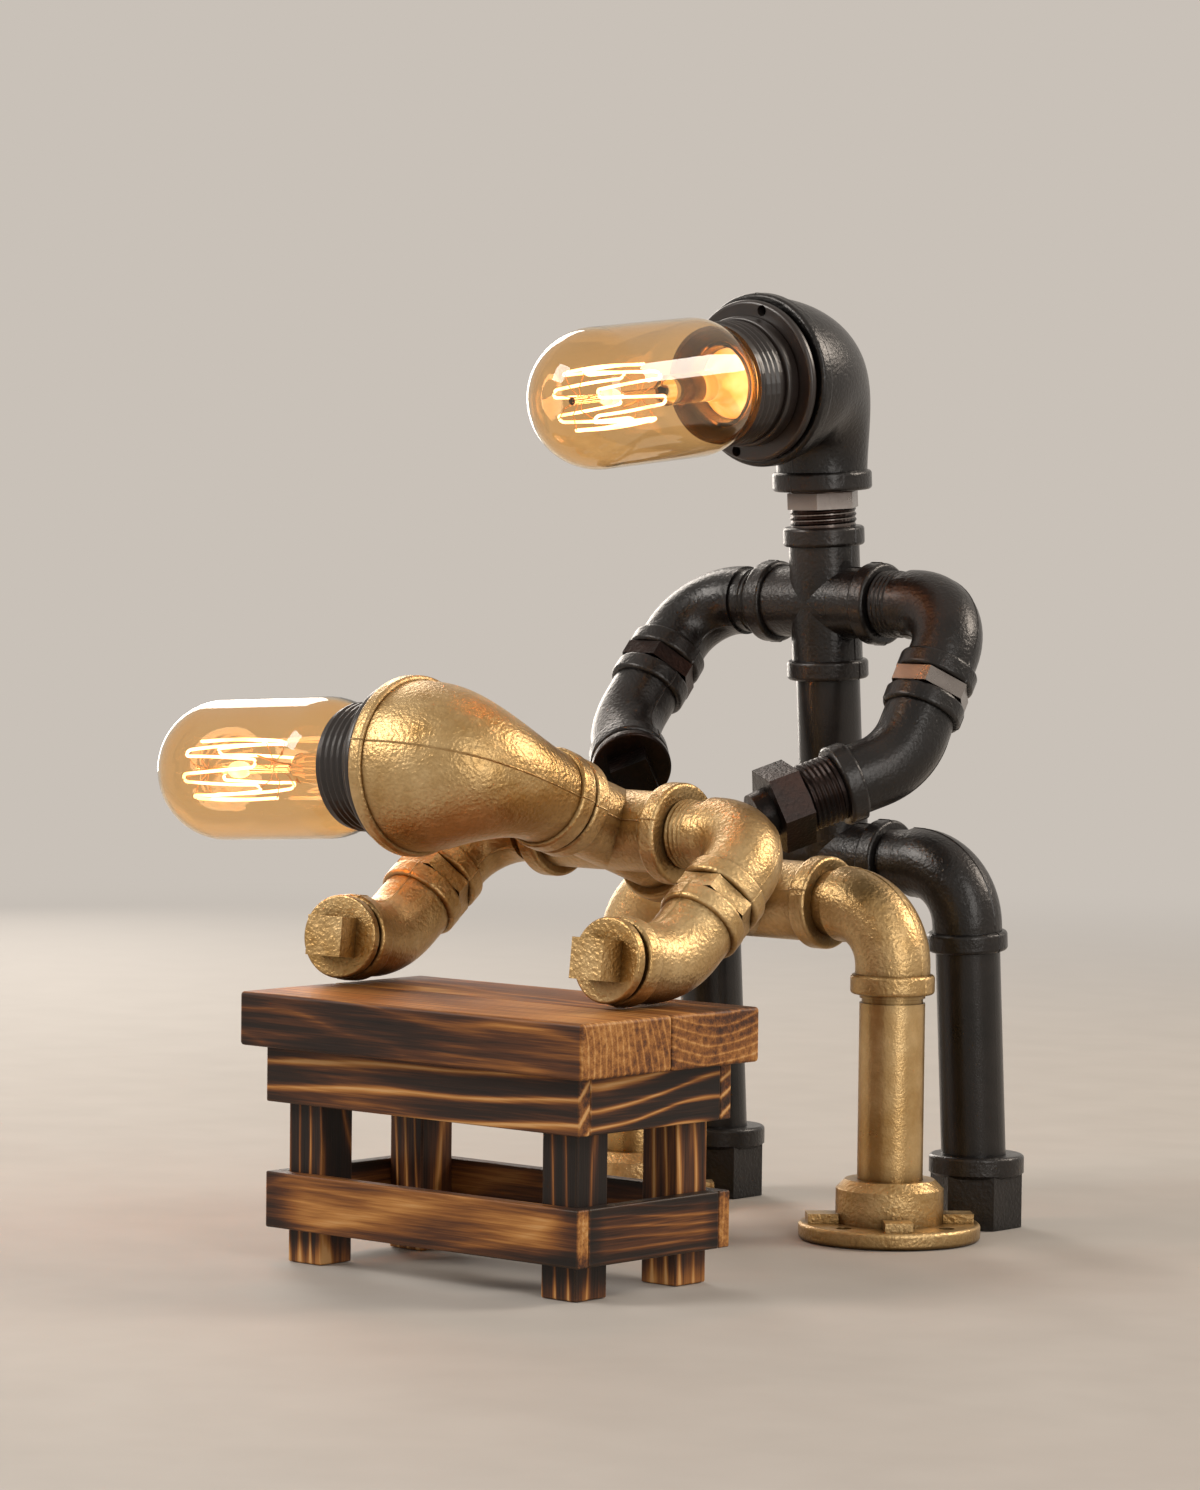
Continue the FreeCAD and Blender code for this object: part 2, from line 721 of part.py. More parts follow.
def bulb(prefix, where, base):
    """Tubular bulb whose cap stands on the insert's base."""
    mouth = size("holder_mouth")
    tip = base + size("face_gap")
    cap_outer = size("bulb_cap_radius")
    cap_inner = cap_outer - size("cap_wall")
    contact = size("cap_contact")
    cone_top = tip + 4
    cap_top = tip + size("cap_length")
    seat = cap_top - size("cap_seat")
    cap = new_body(prefix + "_bulb_cap")
    corners = [(NOTHING, tip), (contact, tip), (cap_outer, cone_top), (cap_outer, cap_top)]
    floor = cone_top + size("cap_wall")
    corners += [(cap_inner, cap_top), (cap_inner, floor), (NOTHING, floor)]
    turned(cap, "shell", corners)
    place(cap, where)

    wall = size("glass_wall")
    neck = size("glass_neck")
    body = size("glass_radius")
    mouth_radius = size("glass_mouth")
    start = seat + size("thread_clearance")
    lip = cap_top + 1
    at_mouth = mouth + 1
    shoulder = mouth + size("glass_shoulder")
    dome = mouth + size("dome_ahead")
    glass = new_body(prefix + "_bulb_glass")
    soft = wall * 5
    corners = [(NOTHING, start), (neck, start), (neck, lip), (mouth_radius, at_mouth)]
    corners += [(body, shoulder), (body, dome, body), (NOTHING, dome + body)]
    turned(glass, "outside", corners)
    rounded(glass, [body, mouth_radius], soft)
    hollow = body - wall
    throat = mouth_radius - wall
    inside = neck - wall
    corners = [(NOTHING, start - 1), (inside, start - 1), (inside, lip), (throat, at_mouth)]
    corners += [(hollow, shoulder), (hollow, dome, hollow), (NOTHING, dome + hollow)]
    turned(glass, "inside", corners, True)
    place(glass, where)

    stem = new_body(prefix + "_bulb_stem")
    foot = neck - wall - size("thread_clearance")
    tube = size("stem_radius")
    rod = size("stem_rod")
    foot_top = start + 1
    flare = foot_top + tube
    pinch = mouth + size("stem_height") - tube
    shrink = mouth + size("stem_height")
    rod_top = mouth + size("cage_end") + 2
    corners = [(NOTHING, start), (foot, start), (foot, foot_top), (tube, flare), (tube, pinch)]
    corners += [(rod, shrink), (rod, rod_top), (NOTHING, rod_top)]
    turned(stem, "press", corners)
    place(stem, where)

    # The wire runs up and down between two rings of hooks on the rod.
    wire = size("cage_wire")
    cage = size("cage_radius")
    loops = int(sheet.cage_loops)
    low = mouth + size("cage_start")
    high = mouth + size("cage_end")
    gap = rod + size("thread_clearance")
    step = 360.0 / loops
    filament = new_body(prefix + "_bulb_filament")
    for number in range(loops):
        lower = rim_point(step * number, cage.value, low.value)
        upper = rim_point(step * (number + 0.5), cage.value, high.value)
        after = rim_point(step * (number + 1), cage.value, low.value)
        bar(filament, "rising%d" % number, lower, upper, wire)
        bar(filament, "falling%d" % number, upper, after, wire)
        for name, point in (("low_hook%d" % number, lower), ("high_hook%d" % number, upper)):
            inwards = FreeCAD.Vector(point.x, point.y, 0) * (gap.value / cage.value)
            bar(filament, name, inwards + UP * point.z, point, wire * size("hook_share"))
    place(filament, where)


# ---------------------------------------------------------------------------
# Heads: a reducing elbow that carries a lampholder and a bulb
# ---------------------------------------------------------------------------
def head_elbow(label, forward):
    """Reducing elbow lofted from the small port below (-Z) to the wide port (+X)."""
    body = new_body(label)
    drop = size("head_rise")
    width = size("band_width")
    throat = size("head_throat")
    belly = size("head_belly")
    growth = belly - throat
    rim_width = size("head_rim_width")
    tuck = sheet.head_rim_tuck
    # stations along the bend: tilt, centre x, centre z, share of the growth
    inner = drop.value - width.value
    run = sheet.head_throat_run
    stations = [
        (0.0, 0.0, -inner, 0.0),
        (0.0, 0.0, -0.74 * inner - run, 0.03),
        (30.0, 0.08 * forward.value, -0.43 * inner, 0.36),
        (60.0, 0.28 * forward.value, -0.14 * inner, 0.74),
        (90.0, 0.68 * forward.value, 0.0, 0.98),
        (90.0, forward.value - rim_width.value + tuck, 0.0, 1.0),
    ]
    rings = []
    for number, (tilt, x, z, share) in enumerate(stations, start=1):
        ring = new_sketch(body, "section%d" % number, "XY_Plane")
        turn = FreeCAD.Rotation(FreeCAD.Vector(0, 1, 0), tilt)
        ring.AttachmentOffset = FreeCAD.Placement(FreeCAD.Vector(x, 0, z), turn)
        radius = throat + growth * share
        ring.addGeometry(Part.Circle(FreeCAD.Vector(), UP, radius.value), False)
        ring.addConstraint(Sketcher.Constraint("Coincident", 0, 3, -1, 1))
        bind(ring, "Radius", (0,), radius)
        rings.append(ring)
    loft = body.newObject("PartDesign::AdditiveLoft", label + "_shell")
    loft.Profile = rings[0]
    loft.Sections = rings[1:]
    loft.Ruled = False
    low = port_frame(180, (drop - width).value)
    cylinder(body, "small_band", low, size("head_small_band"), width)
    front = port_frame(90, (forward - rim_width).value)
    cylinder(body, "rim", front, size("head_rim"), rim_width)
    rounded(body, [size("head_small_band"), size("head_rim")], size("edge_round"))
    pocket = size("holder_neck") + size("holder_clearance")
    deep = size("holder_neck_length") + size("holder_back")
    inside = forward - deep
    cylinder(body, "pocket", port_frame(90, inside.value), pocket, deep + 1, True)
    bore = size("pipe_bore")
    cylinder(body, "bore", port_frame(180, -6), bore, drop + 6, True)
    base = port_frame(180, (drop - DEPTH).value)
    cylinder(body, "socket", base, SOCKET, DEPTH + 1, True)
    return body


def lit_head(prefix, centre, along, forward_size, dip_axis, forward):
    """Reducing elbow, lampholder and bulb; the bulb dips a little about an axis."""
    place(head_elbow(prefix + "_head_elbow", forward_size), frame(centre, along, forward))
    face = centre + forward * forward_size.value
    axis = FreeCAD.Rotation(dip_axis, sheet.holder_dip).multVec(forward)
    where = frame(face + axis * sheet.holder_ahead, axis, dip_axis)
    base = lampholder(prefix, where)
    bulb(prefix, where, base)


# ---------------------------------------------------------------------------
# Gold figure
# ---------------------------------------------------------------------------
def floor_flange(label):
    body = new_body(label)
    rim = size("flange_radius")
    thick = size("flange_thickness")
    hub = size("hub_radius")
    top = size("hub_height")
    chamfer = size("hub_chamfer")
    bore = SOCKET
    corners = [(bore, NOTHING), (rim, NOTHING), (rim, thick), (hub, thick)]
    corners += [(hub, top - chamfer), (hub - chamfer, top), (bore, top)]
    turned(body, "dish", corners)
    rounded(body, [rim], size("edge_round"))
    web = body.newObject("PartDesign::AdditiveBox", label + "_web")
    web.setExpression("Length", (rim - hub - 2).text)
    web.setExpression("Width", size("web_width").text)
    web.setExpression("Height", size("web_height").text)
    diagonal = FreeCAD.Rotation(UP, 45)
    corner = FreeCAD.Vector(hub.value - 0.5, -sheet.web_width / 2, thick.value)
    web.Placement = FreeCAD.Placement(diagonal.multVec(corner), diagonal)
    spokes = body.newObject("PartDesign::PolarPattern", label + "_webs")
    spokes.Originals = [web]
    spokes.Axis = (origin_plane(body, "Z_Axis"), [""])
    spokes.Angle = 360
    spokes.Occurrences = 4
    body.Tip = spokes
    spot = FreeCAD.Placement(SIDE * sheet.bolt_circle - UP, FreeCAD.Rotation())
    hole = cylinder(body, "bolt_hole", spot, size("bolt_hole"), thick + 2, True)
    holes = body.newObject("PartDesign::PolarPattern", label + "_bolt_holes")
    holes.Originals = [hole]
    holes.Axis = (origin_plane(body, "Z_Axis"), [""])
    holes.Angle = 360
    holes.Occurrences = 4
    body.Tip = holes
    return body


gold_band = size("gold_elbow_band")
gold_trunk = size("gold_elbow_body")
gold_reach = size("gold_cast_reach")
gold_leg_top = size("gold_hip_height") - size("gold_hip_reach")
for side, word in ((1, "near"), (-1, "far")):
    foot = FreeCAD.Vector(side * sheet.gold_half_stance, 0, 0)
    place(floor_flange("gold_floor_flange_" + word), FreeCAD.Placement(foot, FreeCAD.Rotation()))
    leg = pipe("gold_leg_pipe_" + word, size("contact_gap"),
               gold_leg_top + DEPTH - size("face_gap"), gold_leg_top - size("groove_drop"))
    place(leg, FreeCAD.Placement(foot, FreeCAD.Rotation()))
    barrel = size("gold_half_stance") - gold_reach + DEPTH - size("face_gap")
    hip = street_elbow("gold_hip_elbow_" + word, gold_band, gold_trunk,
                       size("gold_hip_reach"), barrel)
    place(hip, frame(foot + gold_hip, -UP, SIDE * -side))

trunk = size("gold_cast_body")
tee = casting("gold_hip_tee", (0, 90, 270), gold_reach, size("gold_tee_band"), trunk)
place(tee, frame(gold_hip, gold_spine))
spine_start = gold_reach - DEPTH + size("face_gap")
spine_end = size("gold_spine_pitch") - gold_reach + DEPTH - size("face_gap")
place(pipe("gold_spine_pipe", spine_start, spine_end), frame(gold_hip, gold_spine))
cross = casting("gold_chest_cross", (0, 90, 180, 270), gold_reach, size("gold_cross_band"), trunk)
place(cross, frame(gold_chest, gold_spine))

gold_near = Arm(gold_chest, size("gold_near_shoulder"), sheet.gold_near_drop, 0.0)
gold_far = Arm(gold_chest, -size("gold_far_shoulder"), sheet.gold_far_drop,
               sheet.gold_far_toe_in)
for arm, word in ((gold_near, "near"), (gold_far, "far")):
    build_arm(arm, "gold_" + word, gold_band, gold_trunk, gold_reach, make_plug)

# The gold head looks to the far side, so its elbow is turned about the neck.
neck_low = gold_reach - DEPTH + size("face_gap")
neck_high = size("gold_head_setback") + DEPTH - size("face_gap")
place(pipe("gold_neck_nipple", neck_low, neck_high), frame(gold_chest, gold_spine))
gold_centre = gold_chest + gold_spine * (sheet.gold_head_setback + sheet.head_rise)
gold_forward = FreeCAD.Rotation(gold_spine, sheet.gold_head_turn).multVec(-SIDE)
lit_head("gold", gold_centre, gold_spine, size("gold_head_forward"), gold_spine, gold_forward)

# ---------------------------------------------------------------------------
# Black figure
# ---------------------------------------------------------------------------
def foot_cap(label):
    """Upright hexagon cap whose socket follows the leaning leg."""
    body = new_body(label + "_casting")
    prism(body, "hexagon", 6, size("cap_corner"), size("cap_hex_height"), NOTHING, 30.0)
    radius = size("cap_radius")
    low = size("cap_hex_height")
    high = size("cap_height")
    ease = size("edge_round")
    under = low - ease
    corners = [(NOTHING, under), (size("cap_corner") - ease, under), (radius, low)]
    corners += [(radius, high - ease, ease), (radius - ease, high), (NOTHING, high)]
    turned(body, "band", corners)
    along = FreeCAD.Rotation(SIDE, sheet.black_lean).multVec(UP)
    start = along * sheet.cap_floor
    return tilted_bore(label, body, SOCKET, start, size("cap_height"), sheet.black_lean)


black_band = size("black_elbow_band")
black_trunk = size("black_elbow_body")
black_reach = size("black_cast_reach")
black_leg = size("black_hip_height") / cosine(size("black_lean"))
slack = size("face_gap")
for side, word in ((1, "near"), (-1, "far")):
    foot = FreeCAD.Vector(side * sheet.black_half_stance, black_stance, 0)
    place(foot_cap("black_foot_cap_" + word), FreeCAD.Placement(foot, FreeCAD.Rotation()))
    leg_start = size("cap_floor") + size("contact_gap")
    leg_end = black_leg - size("black_hip_reach") + DEPTH - slack
    place(pipe("black_leg_pipe_" + word, leg_start, leg_end), frame(foot, black_up))
    barrel = size("black_half_stance") - black_reach + DEPTH - slack
    hip = street_elbow("black_hip_elbow_" + word, black_band, black_trunk,
                       size("black_hip_reach"), barrel)
    hip_centre = black_hip + SIDE * (side * sheet.black_half_stance)
    place(hip, frame(hip_centre, -black_up, SIDE * -side))

trunk = size("black_cast_body")
cast_band = size("black_cast_band")
tee = casting("black_hip_tee", (0, 90, 270), black_reach, cast_band, trunk)
place(tee, frame(black_hip, black_up))
torso_start = black_reach - DEPTH + slack
torso_end = size("black_torso_pitch") - black_reach + DEPTH - slack
place(pipe("black_torso_pipe", torso_start, torso_end), frame(black_hip, black_up))
cross = casting("black_chest_cross", (0, 90, 180, 270), black_reach, cast_band, trunk)
place(cross, frame(black_chest, black_up))


black_near = Arm(black_chest, size("black_near_shoulder"), sheet.black_near_drop,
                 sheet.black_near_toe_in)
black_far = Arm(black_chest, -size("black_far_shoulder"), sheet.black_far_drop,
                sheet.black_far_toe_in)
build_arm(black_near, "black_near", black_band, black_trunk, black_reach, make_bushing)
build_arm(black_far, "black_far", black_band, black_trunk, black_reach, make_plug)

neck_face = black_chest + black_up * sheet.black_cast_reach
neck_top = size("black_head_setback") - black_reach + DEPTH - slack
neck = hex_nipple("black_neck_nipple", slack - DEPTH, neck_top, size("neck_thread_out"),
                  size("neck_hex"), size("hex_corner"))
place(neck, frame(neck_face, black_up))


head_centre = black_chest + black_up * (sheet.black_head_setback + sheet.head_rise)
black_forward = FreeCAD.Rotation(SIDE, 90).multVec(black_up)
lit_head("black", head_centre, black_up, size("black_head_forward"), SIDE, black_forward)

# ---------------------------------------------------------------------------
# Timber bench that the gold figure's hands rest on
# ---------------------------------------------------------------------------
hands = []
for arm in (gold_near, gold_far):
    hands.append(arm.lowest(sheet.gold_elbow_band, 0))
    hands.append(arm.lowest(sheet.gold_elbow_band, sheet.band_width))
bench_top = min(hands) - sheet.contact_gap
slab_under = bench_top - sheet.slab_thickness


def board(label, low, high, softness):
    """Rectangular piece of timber between two corners, all edges eased."""
    box = doc.addObject("Part::Box", label + "_blank")
    box.Length = high.x - low.x
    box.Width = high.y - low.y
    box.Height = high.z - low.z
    box.Placement = FreeCAD.Placement(low, FreeCAD.Rotation())
    eased = doc.addObject("Part::Fillet", label)
    eased.Base = box
    eased.Edges = [(edge, softness, softness) for edge in range(1, 13)]
    eased.Label = label
    return eased


def pair(label, items):
    """Identical boards that share one named piece."""
    group = doc.addObject("Part::Compound", label)
    group.Links = items
    group.Label = label
    return place(group, FreeCAD.Placement())


def corner(x, y, z):
    return FreeCAD.Vector(x, y, z)


west = -sheet.bench_left
east = sheet.bench_right
south = -sheet.bench_front
north = -sheet.bench_back
seam = south + sheet.slab_split
soft = sheet.slab_round
front = board("bench_slab_front", corner(west, south, slab_under),
              corner(east, seam, bench_top), soft)
place(front, FreeCAD.Placement())
back = board("bench_slab_back", corner(west, seam + sheet.slab_joint, slab_under),
             corner(east, north, bench_top), soft)
place(back, FreeCAD.Placement())

inset = sheet.apron_inset
thick = sheet.board_thickness
touch = sheet.timber_gap
outer_w, outer_e = west + inset, east - inset
outer_s, outer_n = south + inset, north - inset
levels = (("apron", sheet.apron_bottom, slab_under - touch), ("rail", sheet.rail_bottom, sheet.rail_top))
for word, low, high in levels:
    front = board("bench_%s_front" % word, corner(outer_w, outer_s, low),
                  corner(outer_e, outer_s + thick, high), sheet.board_round)
    back = board("bench_%s_back" % word, corner(outer_w, outer_n - thick, low),
                 corner(outer_e, outer_n, high), sheet.board_round)
    pair("bench_long_%ss" % word, [front, back])
    inner_s = outer_s + thick + touch
    inner_n = outer_n - thick - touch
    left = board("bench_%s_left" % word, corner(outer_w, inner_s, low),
                 corner(outer_w + thick, inner_n, high), sheet.board_round)
    right = board("bench_%s_right" % word, corner(outer_e - thick, inner_s, low),
                  corner(outer_e, inner_n, high), sheet.board_round)
    pair("bench_short_%ss" % word, [left, right])

square = sheet.leg_size
legs = []
for name, x in (("left", outer_w + thick + touch), ("right", outer_e - thick - touch - square)):
    for row, y in (("front", outer_s + thick + touch), ("back", outer_n - thick - touch - square)):
        low = corner(x, y, 0)
        high = corner(x + square, y + square, slab_under - touch)
        legs.append(board("bench_leg_%s_%s" % (row, name), low, high, sheet.board_round))
pair("bench_legs", legs)

# ---------------------------------------------------------------------------
# Checks and export
# ---------------------------------------------------------------------------
doc.recompute()
failed = [item.Name for item in doc.Objects if {"Invalid", "Error"} & set(item.State)]
if failed:
    raise RuntimeError("features failed: " + ", ".join(failed))
os.makedirs("parts", exist_ok=True)
for item in nodes:
    shape = item.Shape
    if shape.isNull() or not shape.isValid() or not shape.Solids:
        raise RuntimeError(item.Label + " has no valid solid")
    shape.exportStep("parts/%s.step" % item.Label)
print("%d pieces, bench top at %.2f mm" % (len(nodes), bench_top))
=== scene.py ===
"""Looks of a table lamp made of screwed iron pipe fittings and a timber bench."""

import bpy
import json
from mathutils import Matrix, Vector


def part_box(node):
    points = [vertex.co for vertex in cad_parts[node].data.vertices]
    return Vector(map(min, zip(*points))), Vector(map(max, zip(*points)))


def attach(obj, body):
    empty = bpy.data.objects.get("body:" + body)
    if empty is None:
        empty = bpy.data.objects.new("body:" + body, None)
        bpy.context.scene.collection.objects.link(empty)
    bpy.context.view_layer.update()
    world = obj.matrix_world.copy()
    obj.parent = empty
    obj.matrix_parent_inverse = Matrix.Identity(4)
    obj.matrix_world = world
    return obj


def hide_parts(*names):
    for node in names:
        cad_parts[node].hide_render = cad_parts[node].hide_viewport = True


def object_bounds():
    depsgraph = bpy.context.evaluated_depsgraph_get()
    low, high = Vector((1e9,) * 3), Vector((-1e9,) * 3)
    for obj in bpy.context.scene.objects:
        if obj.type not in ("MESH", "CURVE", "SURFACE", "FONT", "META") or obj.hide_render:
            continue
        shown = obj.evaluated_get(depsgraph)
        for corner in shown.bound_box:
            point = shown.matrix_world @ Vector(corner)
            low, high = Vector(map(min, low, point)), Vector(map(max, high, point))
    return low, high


bl_info = {
    "name": "Pipe Figure Lamp",
    "version": (1, 0, 0),
    "blender": (4, 5, 0),
    "location": "View3D > Sidebar > Lamp",
    "description": "Finishes, threads, bulbs and timber of a pipe fitting table lamp",
    "category": "Object",
}

import json
import math

import bmesh
import bpy
from bpy.props import FloatProperty, FloatVectorProperty, IntProperty, PointerProperty
from mathutils import Matrix, Vector
from mathutils.bvhtree import BVHTree

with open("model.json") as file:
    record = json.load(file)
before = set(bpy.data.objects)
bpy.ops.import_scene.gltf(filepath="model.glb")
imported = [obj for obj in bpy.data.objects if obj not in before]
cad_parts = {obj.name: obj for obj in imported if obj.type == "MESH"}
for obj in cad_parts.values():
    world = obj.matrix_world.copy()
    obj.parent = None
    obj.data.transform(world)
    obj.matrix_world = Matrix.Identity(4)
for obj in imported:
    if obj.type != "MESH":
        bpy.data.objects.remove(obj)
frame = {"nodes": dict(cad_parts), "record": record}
CAD_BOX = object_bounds()
NODES = frame["nodes"]
BODIES = frame["record"]["behaviour"]["bodies"]
HOME = {node: body for body, members in BODIES.items() for node in members}
MM = 0.001


# ---- Small helpers ----
def linear(hex_colour):
    """sRGB hex to the linear RGBA that shaders take."""
    parts = [int(hex_colour[i:i + 2], 16) / 255 for i in (1, 3, 5)]
    curve = [p / 12.92 if p <= 0.04045 else ((p + 0.055) / 1.055) ** 2.4 for p in parts]
    return (*curve, 1.0)


def add(tree, kind, inputs=None, stops=(), **settings):
    """Add one shader node with its properties, its inputs and, on a ramp, its stops.

    An input takes a plain value, a socket, or a node, which stands for its first output.
    """
    node = tree.nodes.new("ShaderNode" + kind)
    for name, value in settings.items():
        setattr(node, name, value)
    for name, value in (inputs or {}).items():
        socket = node.inputs[name]
        if isinstance(value, bpy.types.Node):
            value = value.outputs[0]
        if isinstance(value, bpy.types.NodeSocket):
            tree.links.new(value, socket)
        else:
            socket.default_value = value
    if stops:
        band = node.color_ramp.elements
        while len(band) < len(stops):
            band.new(0.5)
        for element, (position, tone) in zip(band, stops):
            element.position = position
            element.color = linear(tone)
    return node


def new_material(name):
    """An empty material, its node tree and the place on the object in metres."""
    material = bpy.data.materials.new(name)
    material.use_nodes = True
    tree = material.node_tree
    tree.nodes.clear()
    return material, tree, add(tree, "TexCoord").outputs["Object"]


def dress(material, name):
    """Give a CAD node one material in all its slots."""
    slots = NODES[name].material_slots
    for slot in slots:
        slot.material = material
    if not slots:
        NODES[name].data.materials.append(material)


def mesh_object(name, mesh_builder, material, body, smooth=True):
    """A visible piece that rides on a body and belongs to a material slot."""
    mesh = bpy.data.meshes.new(name)
    mesh_builder.normal_update()
    mesh_builder.to_mesh(mesh)
    mesh_builder.free()
    mesh.materials.append(material)
    for polygon in mesh.polygons:
        polygon.use_smooth = smooth
    piece = bpy.data.objects.new(name, mesh)
    bpy.context.scene.collection.objects.link(piece)
    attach(piece, body)
    return piece


def axis_matrix(origin_mm, along):
    """Matrix whose Z axis lies along a direction, at an origin in millimetres."""
    z = Vector(along).normalized()
    x = Vector((1, 0, 0)) if abs(z.x) < 0.9 else Vector((0, 1, 0))
    x = (x - z * x.dot(z)).normalized()
    turn = Matrix((x, z.cross(x), z)).transposed().to_4x4()
    return Matrix.Translation(in_metres(origin_mm)) @ turn


def in_metres(spot_mm):
    return Vector([value * MM for value in spot_mm])


def turn_point(radius, angle, level):
    return Vector((radius * math.cos(angle), radius * math.sin(angle), level))


def screw_thread(name, where, core, start, length, pitch, height, material, body, slot):
    """Raised helical thread on a round barrel, all sizes in millimetres."""
    builder = bmesh.new()
    steps = 36
    run_out = steps * 0.3
    foot, crown = 0.46 * pitch, 0.08 * pitch
    sunk = core - 0.05
    count = int(length / pitch * steps)
    previous = None
    for index in range(count + 1):
        angle = 2 * math.pi * index / steps
        level = start + pitch * index / steps
        ease = min(1.0, index / run_out, (count - index) / run_out + 0.02)
        crest = core + height * max(ease, 0.02)
        ring = []
        for radius, offset in ((sunk, -foot), (crest, -crown), (crest, crown), (sunk, foot)):
            spot = turn_point(radius, angle, level + offset)
            ring.append(builder.verts.new(where @ (spot * MM)))
        if previous:
            for side in range(4):
                after = (side + 1) % 4
                builder.faces.new((previous[side], previous[after], ring[after], ring[side]))
        else:
            builder.faces.new(ring[::-1])
        previous = ring
    builder.faces.new(previous)
    return mesh_object(name, builder, material, body, smooth=False)


# ---- Finishes ----
def painted_iron(name, light, dark, shade, metallic, roughness, peel, sand_mm, coat=0.0):
    """Sprayed metallic lacquer over grey cast iron, or over drawn pipe where peel is low.

    The sand of the mould shows through as a leathery orange peel, the corners and
    creases carry painted shade, and the flakes give a soft satin gleam.
    """
    material, tree, place = new_material(name)
    warp = add(tree, "TexNoise", {"Vector": place, "Scale": 500.0, "Detail": 1.0})
    bent = add(tree, "MixRGB", {"Fac": 1.2 * MM, "Color1": place,
                                "Color2": warp.outputs["Color"]}, blend_type="ADD")
    # pebbles of the mould sand, shallow and soft, bent by up to 1.2 mm
    pebble = add(tree, "TexVoronoi", {"Vector": bent, "Scale": 1000 / sand_mm,
                                      "Smoothness": 0.9}, feature="SMOOTH_F1")
    sand = add(tree, "TexNoise", {"Vector": place, "Scale": 1300 / sand_mm, "Detail": 3.0,
                                  "Roughness": 0.6})
    pits = add(tree, "Math", {0: pebble, 1: -0.75}, operation="MULTIPLY")
    leather = add(tree, "Math", {0: sand, 1: 0.9, 2: pits}, operation="MULTIPLY_ADD")
    # uneven casting skin, about 7 mm
    skin = add(tree, "TexNoise", {"Vector": place, "Scale": 140.0, "Detail": 3.0,
                                  "Roughness": 0.55})
    # clouds in the paint, about 26 mm
    cloud = add(tree, "TexNoise", {"Vector": place, "Scale": 38.0, "Detail": 4.0,
                                   "Roughness": 0.65})
    # painted shade: ambient occlusion darkens corners and creases towards the shade colour
    corner = add(tree, "AmbientOcclusion", {"Distance": 6 * MM, "Color": (1, 1, 1, 1)},
                 samples=6)
    unshaded_share = add(tree, "Math", {0: corner.outputs["AO"], 1: 1.8}, operation="POWER")
    spread = add(tree, "MapRange", {"Value": cloud, "From Min": 0.36, "From Max": 0.64})
    tone = add(tree, "MixRGB", {"Fac": spread, "Color1": dark, "Color2": light})
    grit = add(tree, "MapRange", {"Value": leather, "From Min": -0.15, "From Max": 0.25,
                                  "To Max": 0.16 * min(1.0, peel)})
    tone = add(tree, "MixRGB", {"Fac": grit, "Color1": tone, "Color2": shade})
    base = add(tree, "MixRGB", {"Fac": unshaded_share, "Color1": shade, "Color2": tone})
    gloss = add(tree, "MapRange", {"Value": cloud, "From Min": 0.3, "From Max": 0.7,
                                   "To Min": roughness - 0.05, "To Max": roughness + 0.09})
    low = add(tree, "Bump", {"Height": skin, "Distance": 0.6 * MM,
                             "Strength": 0.08 + 0.1 * peel})
    fine = add(tree, "Bump", {"Height": leather, "Distance": 0.2 * MM,
                              "Strength": 0.85 * peel, "Normal": low})
    shader = add(tree, "BsdfPrincipled",
                 {"Base Color": base, "Metallic": metallic, "Roughness": gloss,
                  "Coat Weight": coat, "Coat Roughness": 0.2, "Normal": fine})
    add(tree, "OutputMaterial", {"Surface": shader})
    return material


def bakelite(colour):
    """Compression moulded phenolic: almost black brown, hard, with a soft gloss.

    Its flow marks are 6 mm wide.
    """
    material, tree, place = new_material("moulded_phenolic")
    flow = add(tree, "TexNoise", {"Vector": place, "Scale": 160.0, "Detail": 5.0,
                                  "Roughness": 0.7})
    base = add(tree, "MixRGB", {"Fac": flow, "Color1": colour, "Color2": linear("#2a201c")})
    gloss = add(tree, "MapRange", {"Value": flow, "To Min": 0.24, "To Max": 0.42})
    dust = add(tree, "Bump", {"Height": flow, "Distance": 0.08 * MM, "Strength": 0.35})
    shader = add(tree, "BsdfPrincipled", {"Base Color": base, "Roughness": gloss,
                                          "IOR": 1.62, "Normal": dust})
    add(tree, "OutputMaterial", {"Surface": shader})
    return material


def clouded(name, scale, detail, stops, looks, places=("Base Color",)):
    """A smooth surface whose tone drifts between stops, in one or more of its inputs."""
    material, tree, place = new_material(name)
    cloud = add(tree, "TexNoise", {"Vector": place, "Scale": scale, "Detail": detail})
    tone = add(tree, "ValToRGB", {"Fac": cloud}, stops)
    shader = add(tree, "BsdfPrincipled", {**looks, **dict.fromkeys(places, tone)})
    add(tree, "OutputMaterial", {"Surface": shader})
    return material


def rolled_brass():
    """Thin rolled brass of screw shells: yellow, with faint marks 2 mm wide."""
    return clouded("rolled_brass", 500.0, 2.0, [(0.3, "#a8803e"), (0.8, "#d9b568")],
                   {"Metallic": 1.0, "Roughness": 0.3})


def glass_with_painted_glow(name, edge, heart, strength):
    """Glass inside the bulb, its glow painted on as emission for the wires' light: amber,
    uneven over 8 mm.
    """
    return clouded(name, 120.0, 2.0, [(0.35, heart), (0.65, edge)],
                   {"Roughness": 0.08, "IOR": 1.5, "Transmission Weight": 0.35,
                    "Emission Strength": strength}, ("Base Color", "Emission Color"))


def glowing_wire(glow):
    """Carbon filament at working heat: near white, with amber patches of 11 mm."""
    return clouded("glowing_filament", 90.0, 1.0, [(0.3, "#ffd2a0"), (0.6, "#fff0e0")],
                   {"Base Color": linear("#ffb35c"), "Roughness": 0.5,
                    "Emission Strength": glow}, ("Emission Color",))


